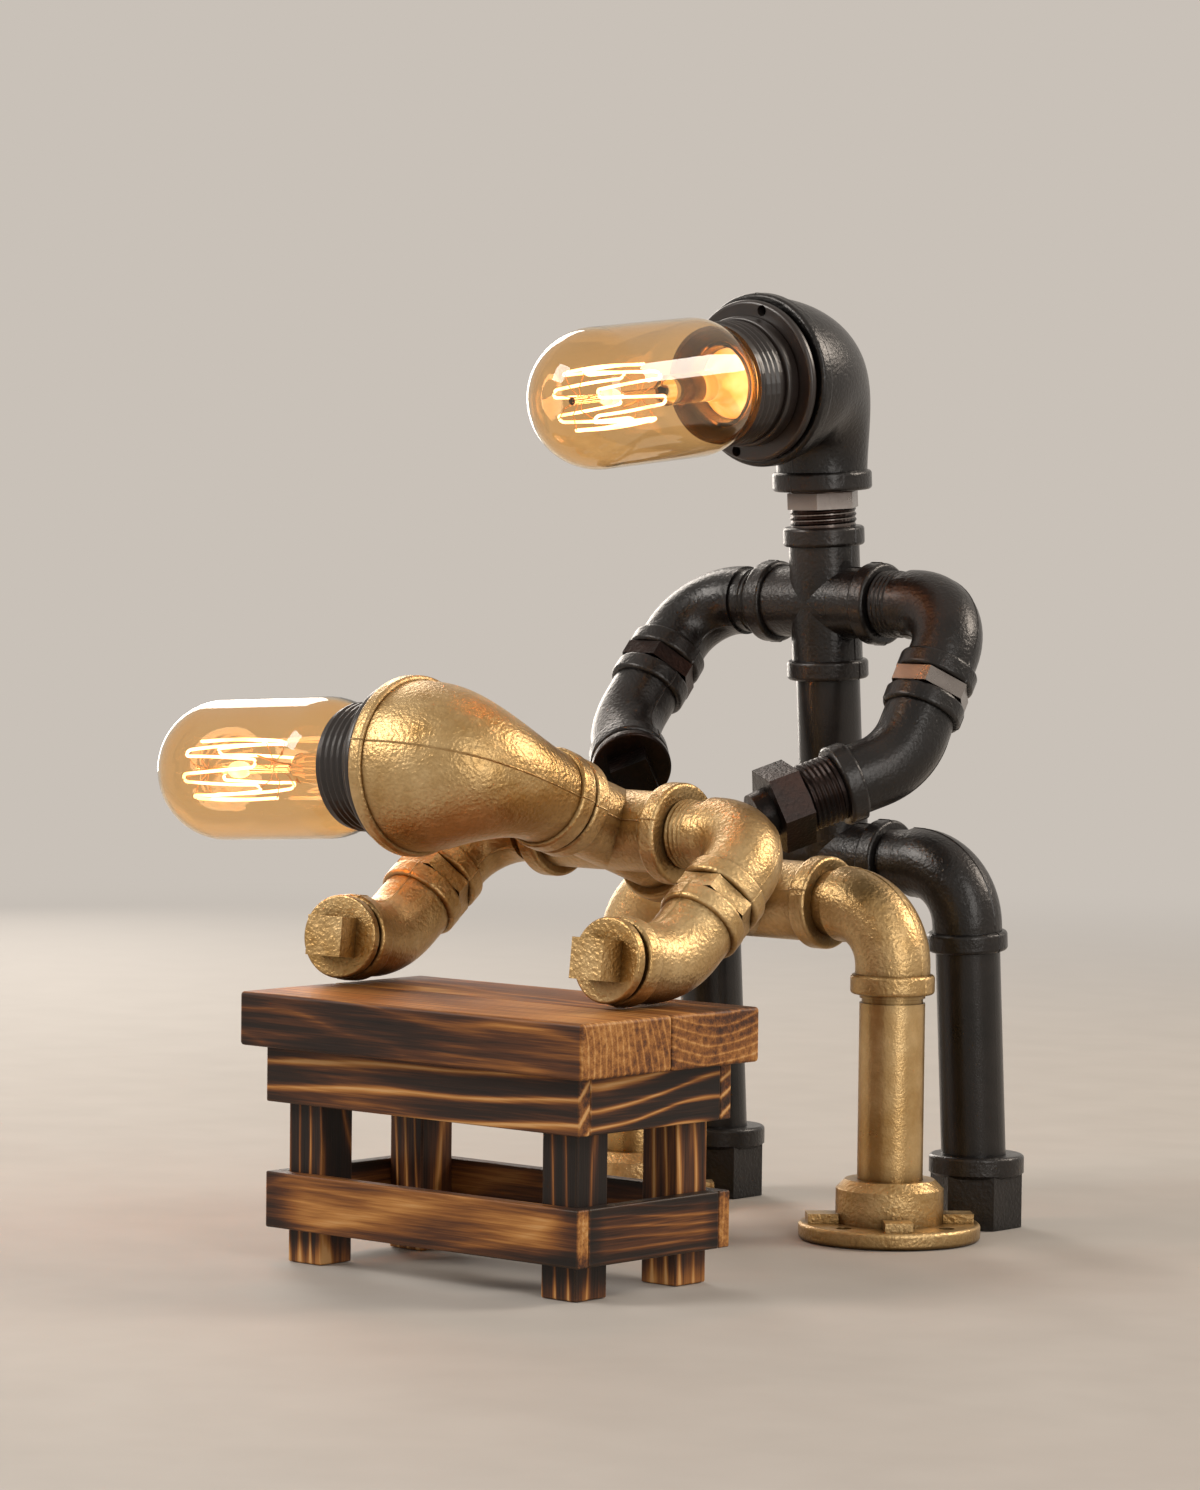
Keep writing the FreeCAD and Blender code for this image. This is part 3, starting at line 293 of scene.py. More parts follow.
def drawn_steel():
    """Fine nickelled steel wire of the hooks: grey, with the filament's glow painted on as
    warm patches over 5 mm and a faint emission.
    """
    return clouded("drawn_steel", 200.0, 2.0, [(0.3, "#8d7a62"), (0.7, "#d9b184")],
                   {"Metallic": 1.0, "Roughness": 0.3, "Emission Strength": 0.25,
                    "Emission Color": linear("#ff9a3c")})


def tinted_glass(name, tint, streak, shadow):
    """Blown soda glass with a lacquer tint: clear, thin, with waves of 22 mm."""
    material, tree, place = new_material(name)
    wave = add(tree, "TexNoise", {"Vector": place, "Scale": 45.0, "Detail": 2.0})
    tone = add(tree, "MixRGB", {"Fac": wave, "Color1": linear(tint),
                                "Color2": linear(streak)})
    ripple = add(tree, "Bump", {"Height": wave, "Distance": 0.12 * MM, "Strength": 0.2})
    body = add(tree, "BsdfPrincipled", {"Base Color": tone, "Transmission Weight": 1.0,
                                        "Roughness": 0.0, "IOR": 1.5, "Normal": ripple})
    rays = add(tree, "LightPath").outputs["Is Shadow Ray"]
    clear = add(tree, "BsdfTransparent", {"Color": linear(shadow)})
    both = add(tree, "MixShader", {"Fac": rays, 1: body, 2: clear})
    add(tree, "OutputMaterial", {"Surface": both})
    return material


def near_edges(tree, value, low, high, start):
    """0 in the middle of a span, rising to 1 at both of its ends."""
    middle, half = (low + high) / 2, (high - low) / 2
    offset = add(tree, "Math", {0: value, 1: middle}, operation="SUBTRACT")
    away = add(tree, "Math", {0: offset}, operation="ABSOLUTE")
    return add(tree, "MapRange", {"Value": away, "From Min": half * start, "From Max": half},
               interpolation_type="SMOOTHSTEP")


def torched_pine(name, node, grain, pith, ring_mm, lines, seed, sway_mm, ends, sides=0.0,
                 gain=0.0, painted_top_light=0.0, tips=0.0):
    """Pine boards, torched along their edges, wire brushed and waxed.

    The rings are shells round a pith line beside the board, so each face shows
    the flow of one log. The flame blackens edges and ends and leaves the middle
    toasted, the rings stay as paler lines, top faces are lifted by painted light,
    sawn end faces are lighter by the way they face, and corners are paler, partly
    rubbed back to bare wood and partly a painted edge highlight.
    """
    material, tree, place = new_material(name)
    split = add(tree, "SeparateXYZ", {"Vector": place})
    order = {"X": "XYZ", "Y": "YXZ", "Z": "ZXY"}[grain]
    along, across, deep = (split.outputs[letter] for letter in order)
    low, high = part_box(node)
    run = "XYZ".index(grain)
    # the log wanders over 29 mm across the grain, and over 84 mm along it
    slowly = add(tree, "Math", {0: along, 1: 0.35}, operation="MULTIPLY")
    slow = add(tree, "CombineXYZ", {"X": slowly, "Y": across, "Z": deep})
    sway = add(tree, "TexNoise", {"Vector": slow, "Scale": 34.0, "Detail": 1.5,
                                  "Roughness": 0.4, "W": seed}, noise_dimensions="4D")
    reach = sway_mm * MM
    drift = [add(tree, "Math", {0: sway, 1: reach, 2: -reach / 2 - heart * MM},
                 operation="MULTIPLY_ADD") for heart in pith]
    side = add(tree, "Math", {0: across, 1: drift[0]}, operation="ADD")
    side = add(tree, "Math", {0: along, 1: 0.04, 2: side}, operation="MULTIPLY_ADD")
    rise = add(tree, "Math", {0: deep, 1: drift[1]}, operation="ADD")
    spoke = add(tree, "CombineXYZ", {"X": side, "Y": rise})
    radius = add(tree, "VectorMath", {0: spoke}, operation="LENGTH").outputs["Value"]
    turns = add(tree, "Math", {0: radius, 1: ring_mm * MM}, operation="DIVIDE")
    ring = add(tree, "Math", {0: turns}, operation="FRACT")
    line = add(tree, "ValToRGB", {"Fac": ring},
               [(0.0, "#5a5a5a"), (0.32, "#3a3a3a"), (0.56, "#7c7c7c"), (0.77, "#ffffff"),
                (0.88, "#a8a8a8"), (1.0, "#5a5a5a")])
    # fibres 0.5 mm wide and long along the grain, and soft streaks of 2 mm
    drawn = add(tree, "Math", {0: along, 1: 0.035}, operation="MULTIPLY")
    fibre_place = add(tree, "CombineXYZ", {"X": drawn, "Y": across, "Z": deep})
    fibre = add(tree, "TexNoise", {"Vector": fibre_place, "Scale": 1900.0, "Detail": 3.0})
    streak = add(tree, "TexNoise", {"Vector": fibre_place, "Scale": 520.0, "Detail": 3.0,
                                    "Roughness": 0.6})
    scorch = add(tree, "TexNoise", {"Vector": slow, "Scale": 26.0, "Detail": 2.0,
                                    "Roughness": 0.5, "W": seed + 7.0},
                 noise_dimensions="4D")
    # toasted patches, 38 mm across the grain, less the char at ends and edges
    level = add(tree, "MapRange", {"Value": scorch, "From Min": 0.34, "From Max": 0.66,
                                   "To Min": 0.1 + gain, "To Max": 0.56 + gain})
    flat = add(tree, "NewGeometry").outputs["Normal"]
    facing = add(tree, "SeparateXYZ", {"Vector": flat})
    # painted light: faces that look up are made lighter, as if lit from above
    upward = add(tree, "Math", {0: facing.outputs["Z"], 1: 0.0}, operation="MAXIMUM")
    endward = add(tree, "Math", {0: facing.outputs[grain]}, operation="ABSOLUTE")
    # the flame passes along the sides; painted light lifts the top faces, and sawn end
    # faces are lighter by the way they face; rings, streaks and fibres come last,
    # each with the value that changes nothing
    for share, amount, middle in (
            (near_edges(tree, along, low[run], high[run], start=0.72), -ends, 0.0),
            (near_edges(tree, split.outputs["Z"], low[2], high[2], start=0.35), -sides, 0.0),
            (upward, painted_top_light, 0.0), (endward, tips, 0.0),
            (line, lines, 0.3), (streak, 0.85, 0.5), (fibre, 0.35, 0.5)):
        level = add(tree, "Math", {0: share, 1: amount, 2: level}, operation="MULTIPLY_ADD")
        if middle:
            level = add(tree, "Math", {0: level, 1: middle * amount}, operation="SUBTRACT")
    tone = add(tree, "ValToRGB", {"Fac": level},
               [(0.0, "#140b07"), (0.22, "#2a180f"), (0.42, "#54301a"), (0.62, "#8c5829"),
                (0.82, "#b98144"), (1.0, "#cfa068")])
    # paler corners, where the rounded normal leaves the flat one: partly rubbed back to bare
    # wood, partly a painted edge highlight
    rounded = add(tree, "Bevel", {"Radius": 1.4 * MM}, samples=6)
    meet = add(tree, "VectorMath", {0: rounded, 1: flat}, operation="DOT_PRODUCT")
    rub_and_highlight = add(tree, "MapRange", {"Value": meet.outputs["Value"], "From Min": 0.97,
                                 "From Max": 0.74, "To Max": 1.04})
    worn_and_highlit = add(tree, "Math", {0: rub_and_highlight, 1: streak}, operation="MULTIPLY")
    tone = add(tree, "MixRGB", {"Fac": worn_and_highlit, "Color1": tone, "Color2": linear("#b98550")})
    gloss = add(tree, "MapRange", {"Value": level, "To Min": 0.46, "To Max": 0.56})
    hairs = add(tree, "Math", {0: fibre, 1: 0.6}, operation="MULTIPLY")
    brushed = add(tree, "Math", {0: line, 1: 0.5, 2: hairs}, operation="MULTIPLY_ADD")
    relief = add(tree, "Bump", {"Height": brushed, "Distance": 0.25 * MM, "Strength": 0.6})
    shader = add(tree, "BsdfPrincipled",
                 {"Base Color": tone, "Roughness": gloss, "IOR": 1.38, "Coat Weight": 0.05,
                  "Coat Roughness": 0.3, "Normal": relief})
    add(tree, "OutputMaterial", {"Surface": shader})
    return material


# ---- Settings ----
def amount(label, note, default, low):
    return FloatProperty(name=label, description=note, default=default, min=low)


def angle(label, note, degrees):
    return FloatProperty(name=label, description=note, subtype="ANGLE",
                         default=math.radians(degrees))


def colour(label, note, hex_colour):
    return FloatVectorProperty(name=label, description=note, size=4, min=0.0, max=1.0,
                               subtype="COLOR", default=linear(hex_colour))


class LampFinish(bpy.types.PropertyGroup):
    sand_mm: amount("Mould sand", "Grit spacing of castings in mm", 1.25, 0.2)
    gold_light: colour("Gold, thin", "Lacquer where it is thin", "#dabc8a")
    gold_dark: colour("Gold, thick", "Lacquer where it has pooled", "#b7925b")
    # painted shade: ambient occlusion lays these corner tones into corners and creases, and
    # they also fleck the sand grit
    gold_shade: colour("Gold, corners", "Tone in the inner corners", "#5a4320")
    black_light: colour("Black, thin", "Varnish where it is thin", "#24201e")
    black_dark: colour("Black, thick", "Varnish where it has pooled", "#0e0d0d")
    # painted shade: ambient occlusion lays this tone into corners and creases, and it also
    # flecks the sand grit
    black_shade: colour("Black, corners", "Tone in the inner corners", "#090707")
    bronzed: colour("Bronzed", "Oiled brown of the loose fittings", "#2f1a11")
    plated: colour("Plated", "Bright facets of the hexagons", "#8f8985")
    bakelite: colour("Bakelite", "Body colour of the lampholders", "#120e0c")


class LampThread(bpy.types.PropertyGroup):
    pitch_mm: amount("Pipe pitch", "14 threads to the inch, in mm", 25.4 / 14, 0.5)
    core_mm: amount("Pipe barrel", "Barrel radius in mm", 10.65, 1.0)
    crest_mm: amount("Crest", "Height of the thread in mm", 0.45, 0.05)
    holder_pitch_mm: amount("Holder pitch", "Coarse ring thread, mm", 2.5, 0.5)
    holder_core_mm: amount("Holder barrel", "Holder radius in mm", 19.8, 1.0)


class LampCasting(bpy.types.PropertyGroup):
    fin_mm: amount("Fin width", "Width of the parting fin in mm", 0.9, 0.1)
    proud_mm: amount("Fin height", "How far the fin stands out, mm", 0.28, 0.02)


class LampBulb(bpy.types.PropertyGroup):
    glow: amount("Filament glow", "Brightness of the wire", 4.5, 0.0)
    wire_mm: amount("Wire", "Drawn radius of the filament in mm", 0.5, 0.05)
    cage_mm: amount("Cage", "Radius of the filament cage in mm", 9.5, 2.0)
    radius_mm: amount("Glass", "Outer radius of the tube in mm", 22.7, 5.0)
    wall_mm: amount("Glass wall", "Thickness of the glass in mm", 0.8, 0.2)
    hairpins: IntProperty(name="Hairpins", description="Loops of the filament cage",
                          default=7, min=2)


class LampBench(bpy.types.PropertyGroup):
    sway_mm: amount("Grain sway", "How far the rings wander, mm", 15.0, 0.0)
    fine_ring_mm: amount("Close rings", "Ring spacing of slow pine", 2.8, 0.5)
    wide_ring_mm: amount("Wide rings", "Ring spacing of fast pine", 8.5, 0.5)


class LampStage(bpy.types.PropertyGroup):
    floor: FloatProperty(name="Floor", description="Width of the floor", default=60.0,
                         unit="LENGTH")
    backdrop: colour("Backdrop", "Tone of the wall behind", "#c9c1b8")
    lens: amount("Lens", "Focal length in millimetres", 128.2, 10.0)
    eye: FloatVectorProperty(name="Eye", description="Where the camera stands",
                             default=(1.056232, -1.350424, 0.238542),
                             subtype="TRANSLATION")
    azimuth: angle("Azimuth", "Turn of the view", 41.226)
    pitch: angle("Pitch", "Downward tilt", 2.657)
    roll: angle("Roll", "Roll of the frame", 0.669)


# ---- Finishing the castings ----
PIPE_WORDS = ("leg_pipe", "spine_pipe", "torso_pipe")
LOOSE_WORDS = ("nipple", "plug", "bushing")


def finish_of(name):
    """Which finish a CAD node takes."""
    if name.startswith("bench"):
        return "bench"
    if "bulb_glass" in name or "stem" in name or "filament" in name:
        return "bulb"
    if "bulb_cap" in name:
        return "brass"
    if "lampholder" in name:
        return "bakelite" if "insert" not in name else "brass"
    group = "gold" if name.startswith("gold") else "black"
    if any(word in name for word in PIPE_WORDS):
        return group + "_pipe"
    if name in ("black_near_arm_nipple", "black_neck_nipple"):
        return "black_hex"
    if any(word in name for word in LOOSE_WORDS):
        return group + "_loose"
    return group + "_cast"


class LAMP_OT_finishes(bpy.types.Operator):
    """Give the pipe fittings, lampholders and shells their finishes"""

    bl_idname = "lamp.finishes"
    bl_label = "Fitting finishes"

    def execute(self, context):
        look = context.scene.lamp_finish
        gold = (look.gold_light[:], look.gold_dark[:], look.gold_shade[:])
        black = (look.black_light[:], look.black_dark[:], look.black_shade[:])
        brown = (look.bronzed[:], look.black_dark[:], look.black_shade[:])
        # the plated hexagons take the bronzed brown as painted shade in their corners and grit
        bright = (look.plated[:], look.plated[:], look.bronzed[:])
        sand = look.sand_mm
        made = {
            # sprayed gold over sandy castings: leathery, with a satin gleam
            "gold_cast": painted_iron("gold_on_cast_iron", *gold, metallic=0.9,
                                      roughness=0.34, peel=1.4, sand_mm=sand),
            # the same gold on drawn pipe: smoother and a little brighter
            "gold_pipe": painted_iron("gold_on_pipe", *gold, metallic=0.9,
                                      roughness=0.32, peel=0.45, sand_mm=sand * 0.7),
            # and on plugs and nipples, the roughest of the three
            "gold_loose": painted_iron("gold_on_plugs", *gold, metallic=0.9,
                                       roughness=0.34, peel=1.6, sand_mm=sand),
            # black varnish over castings: dark, with broad wet gleams
            "black_cast": painted_iron("black_on_cast_iron", *black, metallic=0.3,
                                       roughness=0.3, peel=1.1, sand_mm=sand, coat=0.18),
            # the same varnish on pipe: one long clean gleam
            "black_pipe": painted_iron("black_on_pipe", *black, metallic=0.3,
                                       roughness=0.3, peel=0.3, sand_mm=sand * 0.6,
                                       coat=0.18),
            # oiled iron: brown, between the black and bare metal
            "black_loose": painted_iron("oiled_iron", *brown, metallic=0.8,
                                        roughness=0.32, peel=0.9, sand_mm=sand, coat=0.1),
            # zinc on turned hexagons: pale grey, sharp gleams
            "black_hex": painted_iron("plated_iron", *bright, metallic=0.85,
                                      roughness=0.26, peel=0.2, sand_mm=sand),
            "bakelite": bakelite(look.bakelite[:]),
            "brass": rolled_brass(),
        }
        for name in NODES:
            finish = finish_of(name)
            if finish in made:
                dress(made[finish], name)
        return {"FINISHED"}


# ---- Threads left showing between the fittings ----
NEAR, FAR, DOWN = (1.0, 0.0, 0.0), (-1.0, 0.0, 0.0), (0.0, 0.0, -1.0)
GOLD_UP, GOLD_DOWN = (0.0, -0.946085, 0.323917), (0.0, 0.946085, -0.323917)
BLACK_UP, BLACK_DOWN = (0.0, -0.069756, 0.997564), (0.0, 0.069756, -0.997564)
CHEST = {"gold": (-54.9, -74.362, 133.060), "black": (-54.9, 31.173, 204.891)}
NECK_FACE = (-54.9, 29.394, 230.329)
BUSHING_HAND = ((-9.4, -19.262, 146.824), (-0.5, -0.79873, -0.33470))
# disc face in mm, way the bulb looks
HOLDERS = {
    "gold": ((-88.874, -139.114, 153.865), (-0.998135, -0.019775, -0.057757)),
    "black": ((-54.9, -10.496, 277.557), (0.0, -0.995396, -0.095846)),
}
# mouth of a lampholder, in mm from its disc
MOUTH = 17.5
# piece, chest, side, start from the chest's centre and length in mm
SHOULDER_THREADS = (
    ("gold_near", "gold", NEAR, 29.0, 8.0),
    ("gold_far", "gold", FAR, 29.0, 2.0),
    ("black_near", "black", NEAR, 25.5, 8.0),
    ("black_far", "black", FAR, 25.5, 5.5),
)


class LAMP_OT_threads(bpy.types.Operator):
    """Cut the pipe threads that stay in sight beside the fittings"""

    bl_idname = "lamp.threads"
    bl_label = "Pipe threads"

    def execute(self, context):
        cut = context.scene.lamp_thread
        sizes = (cut.pitch_mm, cut.crest_mm)
        for name, chest, side, start, length in SHOULDER_THREADS:
            node = name + "_shoulder"
            screw_thread(node + "_thread", axis_matrix(CHEST[chest], side), cut.core_mm,
                         start, length, *sizes, NODES[node].active_material, HOME[node],
                         chest + "_casting")
        hand = "black_near_hand_bushing"
        iron = NODES[hand].active_material
        # the neck nipple shows its thread over the chest, the bushing behind its hexagon
        screw_thread("black_neck_thread", axis_matrix(NECK_FACE, BLACK_UP), cut.core_mm,
                     0.0, 6.0, *sizes, iron, "stand", "zinc_fitting")
        screw_thread("black_hand_thread", axis_matrix(*BUSHING_HAND), cut.core_mm,
                     0.3, 12.7, *sizes, iron, HOME[hand], "zinc_fitting")
        return {"FINISHED"}


# ---- Parting ridges: the thin fin that the two halves of a mould leave ----
# casting: centre of the fitting in mm and the ways its ports look
CASTINGS = {
    "gold_head_elbow": ((-54.9, -138.696, 155.086),
                        (GOLD_DOWN, (-0.999391, -0.011305, -0.033018))),
    "gold_chest_cross": (CHEST["gold"], (NEAR, GOLD_UP, FAR, GOLD_DOWN)),
    "gold_hip_tee": ((-54.9, 0.0, 107.6), (NEAR, GOLD_UP, FAR)),
    "gold_hip_elbow_near": ((0.0, 0.0, 107.6), (FAR, DOWN)),
    "gold_hip_elbow_far": ((-109.8, 0.0, 107.6), (NEAR, DOWN)),
    "gold_near_shoulder": ((7.1, -74.362, 133.060), (FAR, (0.0, -0.782608, -0.622515))),
    "gold_far_shoulder": ((-110.9, -74.362, 133.060), (NEAR, (0.0, -0.789084, -0.614285))),
    "gold_near_forearm": ((7.1, -120.536, 96.332),
                          ((0.0, 0.782608, 0.622515), (0.0, -0.99357, 0.1132))),
    "gold_far_forearm": ((-110.9, -120.918, 96.817),
                         ((0.0, 0.789084, 0.614285), (0.20674, -0.97335, 0.09922))),
    "black_head_elbow": ((-54.9, 25.906, 280.208),
                         (BLACK_DOWN, (0.0, -0.997564, -0.069756))),
    "black_chest_cross": (CHEST["black"], (NEAR, BLACK_UP, FAR, BLACK_DOWN)),
    "black_hip_tee": ((-54.9, 37.144, 119.5), (NEAR, BLACK_UP, FAR)),
    "black_hip_elbow_near": ((0.6, 37.144, 119.5), (FAR, BLACK_DOWN)),
    "black_hip_elbow_far": ((-110.4, 37.144, 119.5), (NEAR, BLACK_DOWN)),
    "black_near_shoulder": ((2.6, 31.173, 204.891), (FAR, (0.0, -0.529919, -0.848048))),
    "black_far_shoulder": ((-109.9, 31.173, 204.891), (NEAR, (0.0, -0.669131, -0.743145))),
    "black_near_forearm": ((2.6, -0.092, 154.857),
                           ((0.0, 0.529919, 0.848048), (-0.5, -0.79873, -0.3347))),
    "black_far_forearm": ((-109.9, -8.306, 161.046),
                          ((0.0, 0.669131, 0.743145), (0.68301, -0.60915, -0.40302))),
}


def skin_lines(node, centre, ports):
    """Chains of points and outward directions where the mould's plane leaves the skin."""
    weld, clear, bore, rim = 0.001 * MM, 0.2 * MM, 17 * MM, 0.5 * MM
    ports = [Vector(port) for port in ports]
    across = ports[0].cross(ports[1]).normalized()
    builder = bmesh.new()
    builder.from_mesh(NODES[node].data)
    bmesh.ops.remove_doubles(builder, verts=builder.verts, dist=weld)
    reaches = [max((vertex.co - centre).dot(port) for vertex in builder.verts)
               for port in ports]
    skin = BVHTree.FromBMesh(builder)
    geometry = builder.verts[:] + builder.edges[:] + builder.faces[:]
    result = bmesh.ops.bisect_plane(builder, geom=geometry, plane_co=centre, plane_no=across)
    outwards = {}
    for edge in result["geom_cut"]:
        if not isinstance(edge, bmesh.types.BMEdge) or not edge.link_faces:
            continue
        outward = sum((face.normal for face in edge.link_faces), Vector())
        outward = (outward - across * outward.dot(across)).normalized()
        middle = (edge.verts[0].co + edge.verts[1].co) / 2
        # skin ahead within a bore's width: the edge lies inside the fitting
        if skin.ray_cast(middle + outward * clear, outward, bore)[0]:
            continue
        on_face = any(outward.dot(port) > 0.9 and (middle - centre).dot(port) > reach - rim
                      for port, reach in zip(ports, reaches))
        if not on_face:
            outwards[edge] = outward
    chains = []
    while outwards:
        edge, outward = outwards.popitem()
        chain = [(edge.verts[0], outward), (edge.verts[1], outward)]
        for end in (0, -1):
            while True:
                tip = chain[end][0]
                linked = [other for other in tip.link_edges if other in outwards]
                if not linked:
                    break
                outward = outwards.pop(linked[0])
                step = (linked[0].other_vert(tip), outward)
                if end == 0:
                    chain.insert(0, step)
                else:
                    chain.append(step)
        chains.append([(vertex.co.copy(), outward) for vertex, outward in chain])
    builder.free()
    return across, chains


def even_steps(chain, step):
    """Points of a chain no closer than a step, its two ends kept."""
    kept = [chain[0]]
    for spot in chain[1:-1]:
        if (spot[0] - kept[-1][0]).length >= step:
            kept.append(spot)
    kept.append(chain[-1])
    return kept


class LAMP_OT_partings(bpy.types.Operator):
    """Leave the thin parting fin of the mould on every casting"""

    bl_idname = "lamp.partings"
    bl_label = "Parting fins"

    def execute(self, context):
        cast = context.scene.lamp_casting
        half = cast.fin_mm / 2 * MM
        shortest, step, sunk = 5 * MM, 0.6 * MM, 0.06 * MM
        for node, (centre, ports) in CASTINGS.items():
            across, chains = skin_lines(node, in_metres(centre), ports)
            builder = bmesh.new()
            for chain in chains:
                length = sum((a[0] - b[0]).length for a, b in zip(chain, chain[1:]))
                if length < shortest:
                    continue
                rows = []
                for spot, outward in even_steps(chain, step):
                    low = spot - outward * sunk
                    crest = spot + outward * cast.proud_mm * MM
                    # no fin stands above the lamp's own height
                    crest.z = min(crest.z, CAD_BOX[1].z)
                    rows.append([builder.verts.new(point) for point in
                                 (low - across * half, crest, low + across * half)])
                for one, two in zip(rows, rows[1:]):
                    for side in (0, 1):
                        builder.faces.new((one[side], one[side + 1], two[side + 1], two[side]))
            mesh_object(node + "_fin", builder, NODES[node].active_material, HOME[node],
                        smooth=False)
        return {"FINISHED"}


# ---- Lampholders ----
class LAMP_OT_holders(bpy.types.Operator):
    """Cut the coarse ring thread on the bakelite lampholders"""

    bl_idname = "lamp.holders"
    bl_label = "Lampholders"

    def execute(self, context):
        cut = context.scene.lamp_thread
        start, run_off, height = 6.2, 1.0, 0.75
        for figure, place in HOLDERS.items():
            shell = figure + "_lampholder_shell"
            screw_thread(figure + "_lampholder_thread", axis_matrix(*place),
                         cut.holder_core_mm, start, MOUTH - run_off - start,
                         cut.holder_pitch_mm, height, NODES[shell].active_material,
                         HOME[shell], "bakelite")
        return {"FINISHED"}


# ---- Bulbs ----
# heights from the lampholder's disc and radii of wires, in mm
DOME = MOUTH + 57.5
CAGE_LOW = MOUTH + 36.0
CAGE_HIGH = MOUTH + 68.0
HOOK_WIRE = 0.16
LEAD_WIRE = 0.3
# flare of the stem: radius and height in mm
FLARE = [(5.1, 22.0), (5.6, 16.5), (7.6, 12.6), (11.0, 10.4), (11.6, 10.0), (11.6, 9.4),
         (10.8, 9.6), (7.2, 11.6), (5.1, 15.6), (5.05, 22.0)]


def wire_tube(builder, where, points, radius, closed=False, sides=8):
    """Round wire through points given in millimetres."""
    count = len(points)
    rings = []
    for index, point in enumerate(points):
        before = points[index - 1] if closed or index else point
        after = points[(index + 1) % count] if closed or index < count - 1 else point
        ahead = (after - before).normalized()
        # the way round the axis, tilted so that it doesn't vanish on the axis
        side = ahead.cross(Vector((-point.y, point.x, 0.3))).normalized()
        up = ahead.cross(side)
        ring = []
        for step in range(sides):
            angle = 2 * math.pi * step / sides
            spot = point + (side * math.cos(angle) + up * math.sin(angle)) * radius
            ring.append(builder.verts.new(where @ (spot * MM)))
        rings.append(ring)
    pairs = list(zip(rings, rings[1:])) + ([(rings[-1], rings[0])] if closed else [])
    for one, two in pairs:
        for step in range(sides):
            after = (step + 1) % sides
            builder.faces.new((one[step], one[after], two[after], two[step]))
    if not closed:
        builder.faces.new(rings[0][::-1])
        builder.faces.new(rings[-1])


def hairpin_path(cage, hairpins):
    """One closed wire that leans up and down round the cage between tight bends."""
    passes = hairpins * 2
    step = 2 * math.pi / passes
    lean = step * 0.18
    turn = step - 2 * lean
    bend = cage * math.sin(turn / 2)
    low, high = CAGE_LOW + bend, CAGE_HIGH - bend
    bow = 0.5
    points = []
    for number in range(passes):
        upward = number % 2 == 0
        for share in range(7):
            mix = share / 6 if upward else 1 - share / 6
            # the long passes bow outwards a little between their hooks
            belly = cage + bow * math.sin(math.pi * mix)
            angle = number * step + lean * (share / 3 - 1)
            points.append(turn_point(belly, angle, low + (high - low) * mix))
        for share in range(1, 6):
            swing = math.pi * share / 6
            between = number * step + lean + turn * (1 - math.cos(swing)) / 2
            rise = bend * math.sin(swing)
            points.append(turn_point(cage, between, high + rise if upward else low - rise))
    return points


def lathe(builder, where, profile, around=56):
    """Turn a profile of (radius, height) corners about the Z axis."""
    rings = []
    for radius, level in profile:
        spots = [turn_point(radius, 2 * math.pi * step / around, level)
                 for step in range(around)]
        rings.append([builder.verts.new(where @ (spot * MM)) for spot in spots])
    for low, high in zip(rings, rings[1:]):
        for step in range(around):
            after = (step + 1) % around
            builder.faces.new((low[step], low[after], high[after], high[step]))


def glass_profile(radius, inset=0.0):
    """Outline of the blown tube: neck, round shoulder, straight body and dome.

    With the wall as an inset it is the outline of the inside.
    """
    radius -= inset
    neck, collar, waist = (size - inset for size in (12.55, 13.2, 13.7))
    seat, lip, throat, shoulder, reach = 4.9, 9.8, 14.0, 30.0, 14.0
    line = [(neck, seat), (neck, lip), (collar, throat)]
    for share in range(13):
        swing = math.pi / 2 * share / 12
        line.append((waist + (radius - waist) * math.sin(swing),
                     shoulder - reach * math.cos(swing)))
    for share in range(24):
        swing = math.pi / 2 * share / 24
        line.append((radius * math.cos(swing), DOME + radius * math.sin(swing)))
    # the dome closes in a ring too small to see
    line.append((0.01, DOME + radius))
    return line


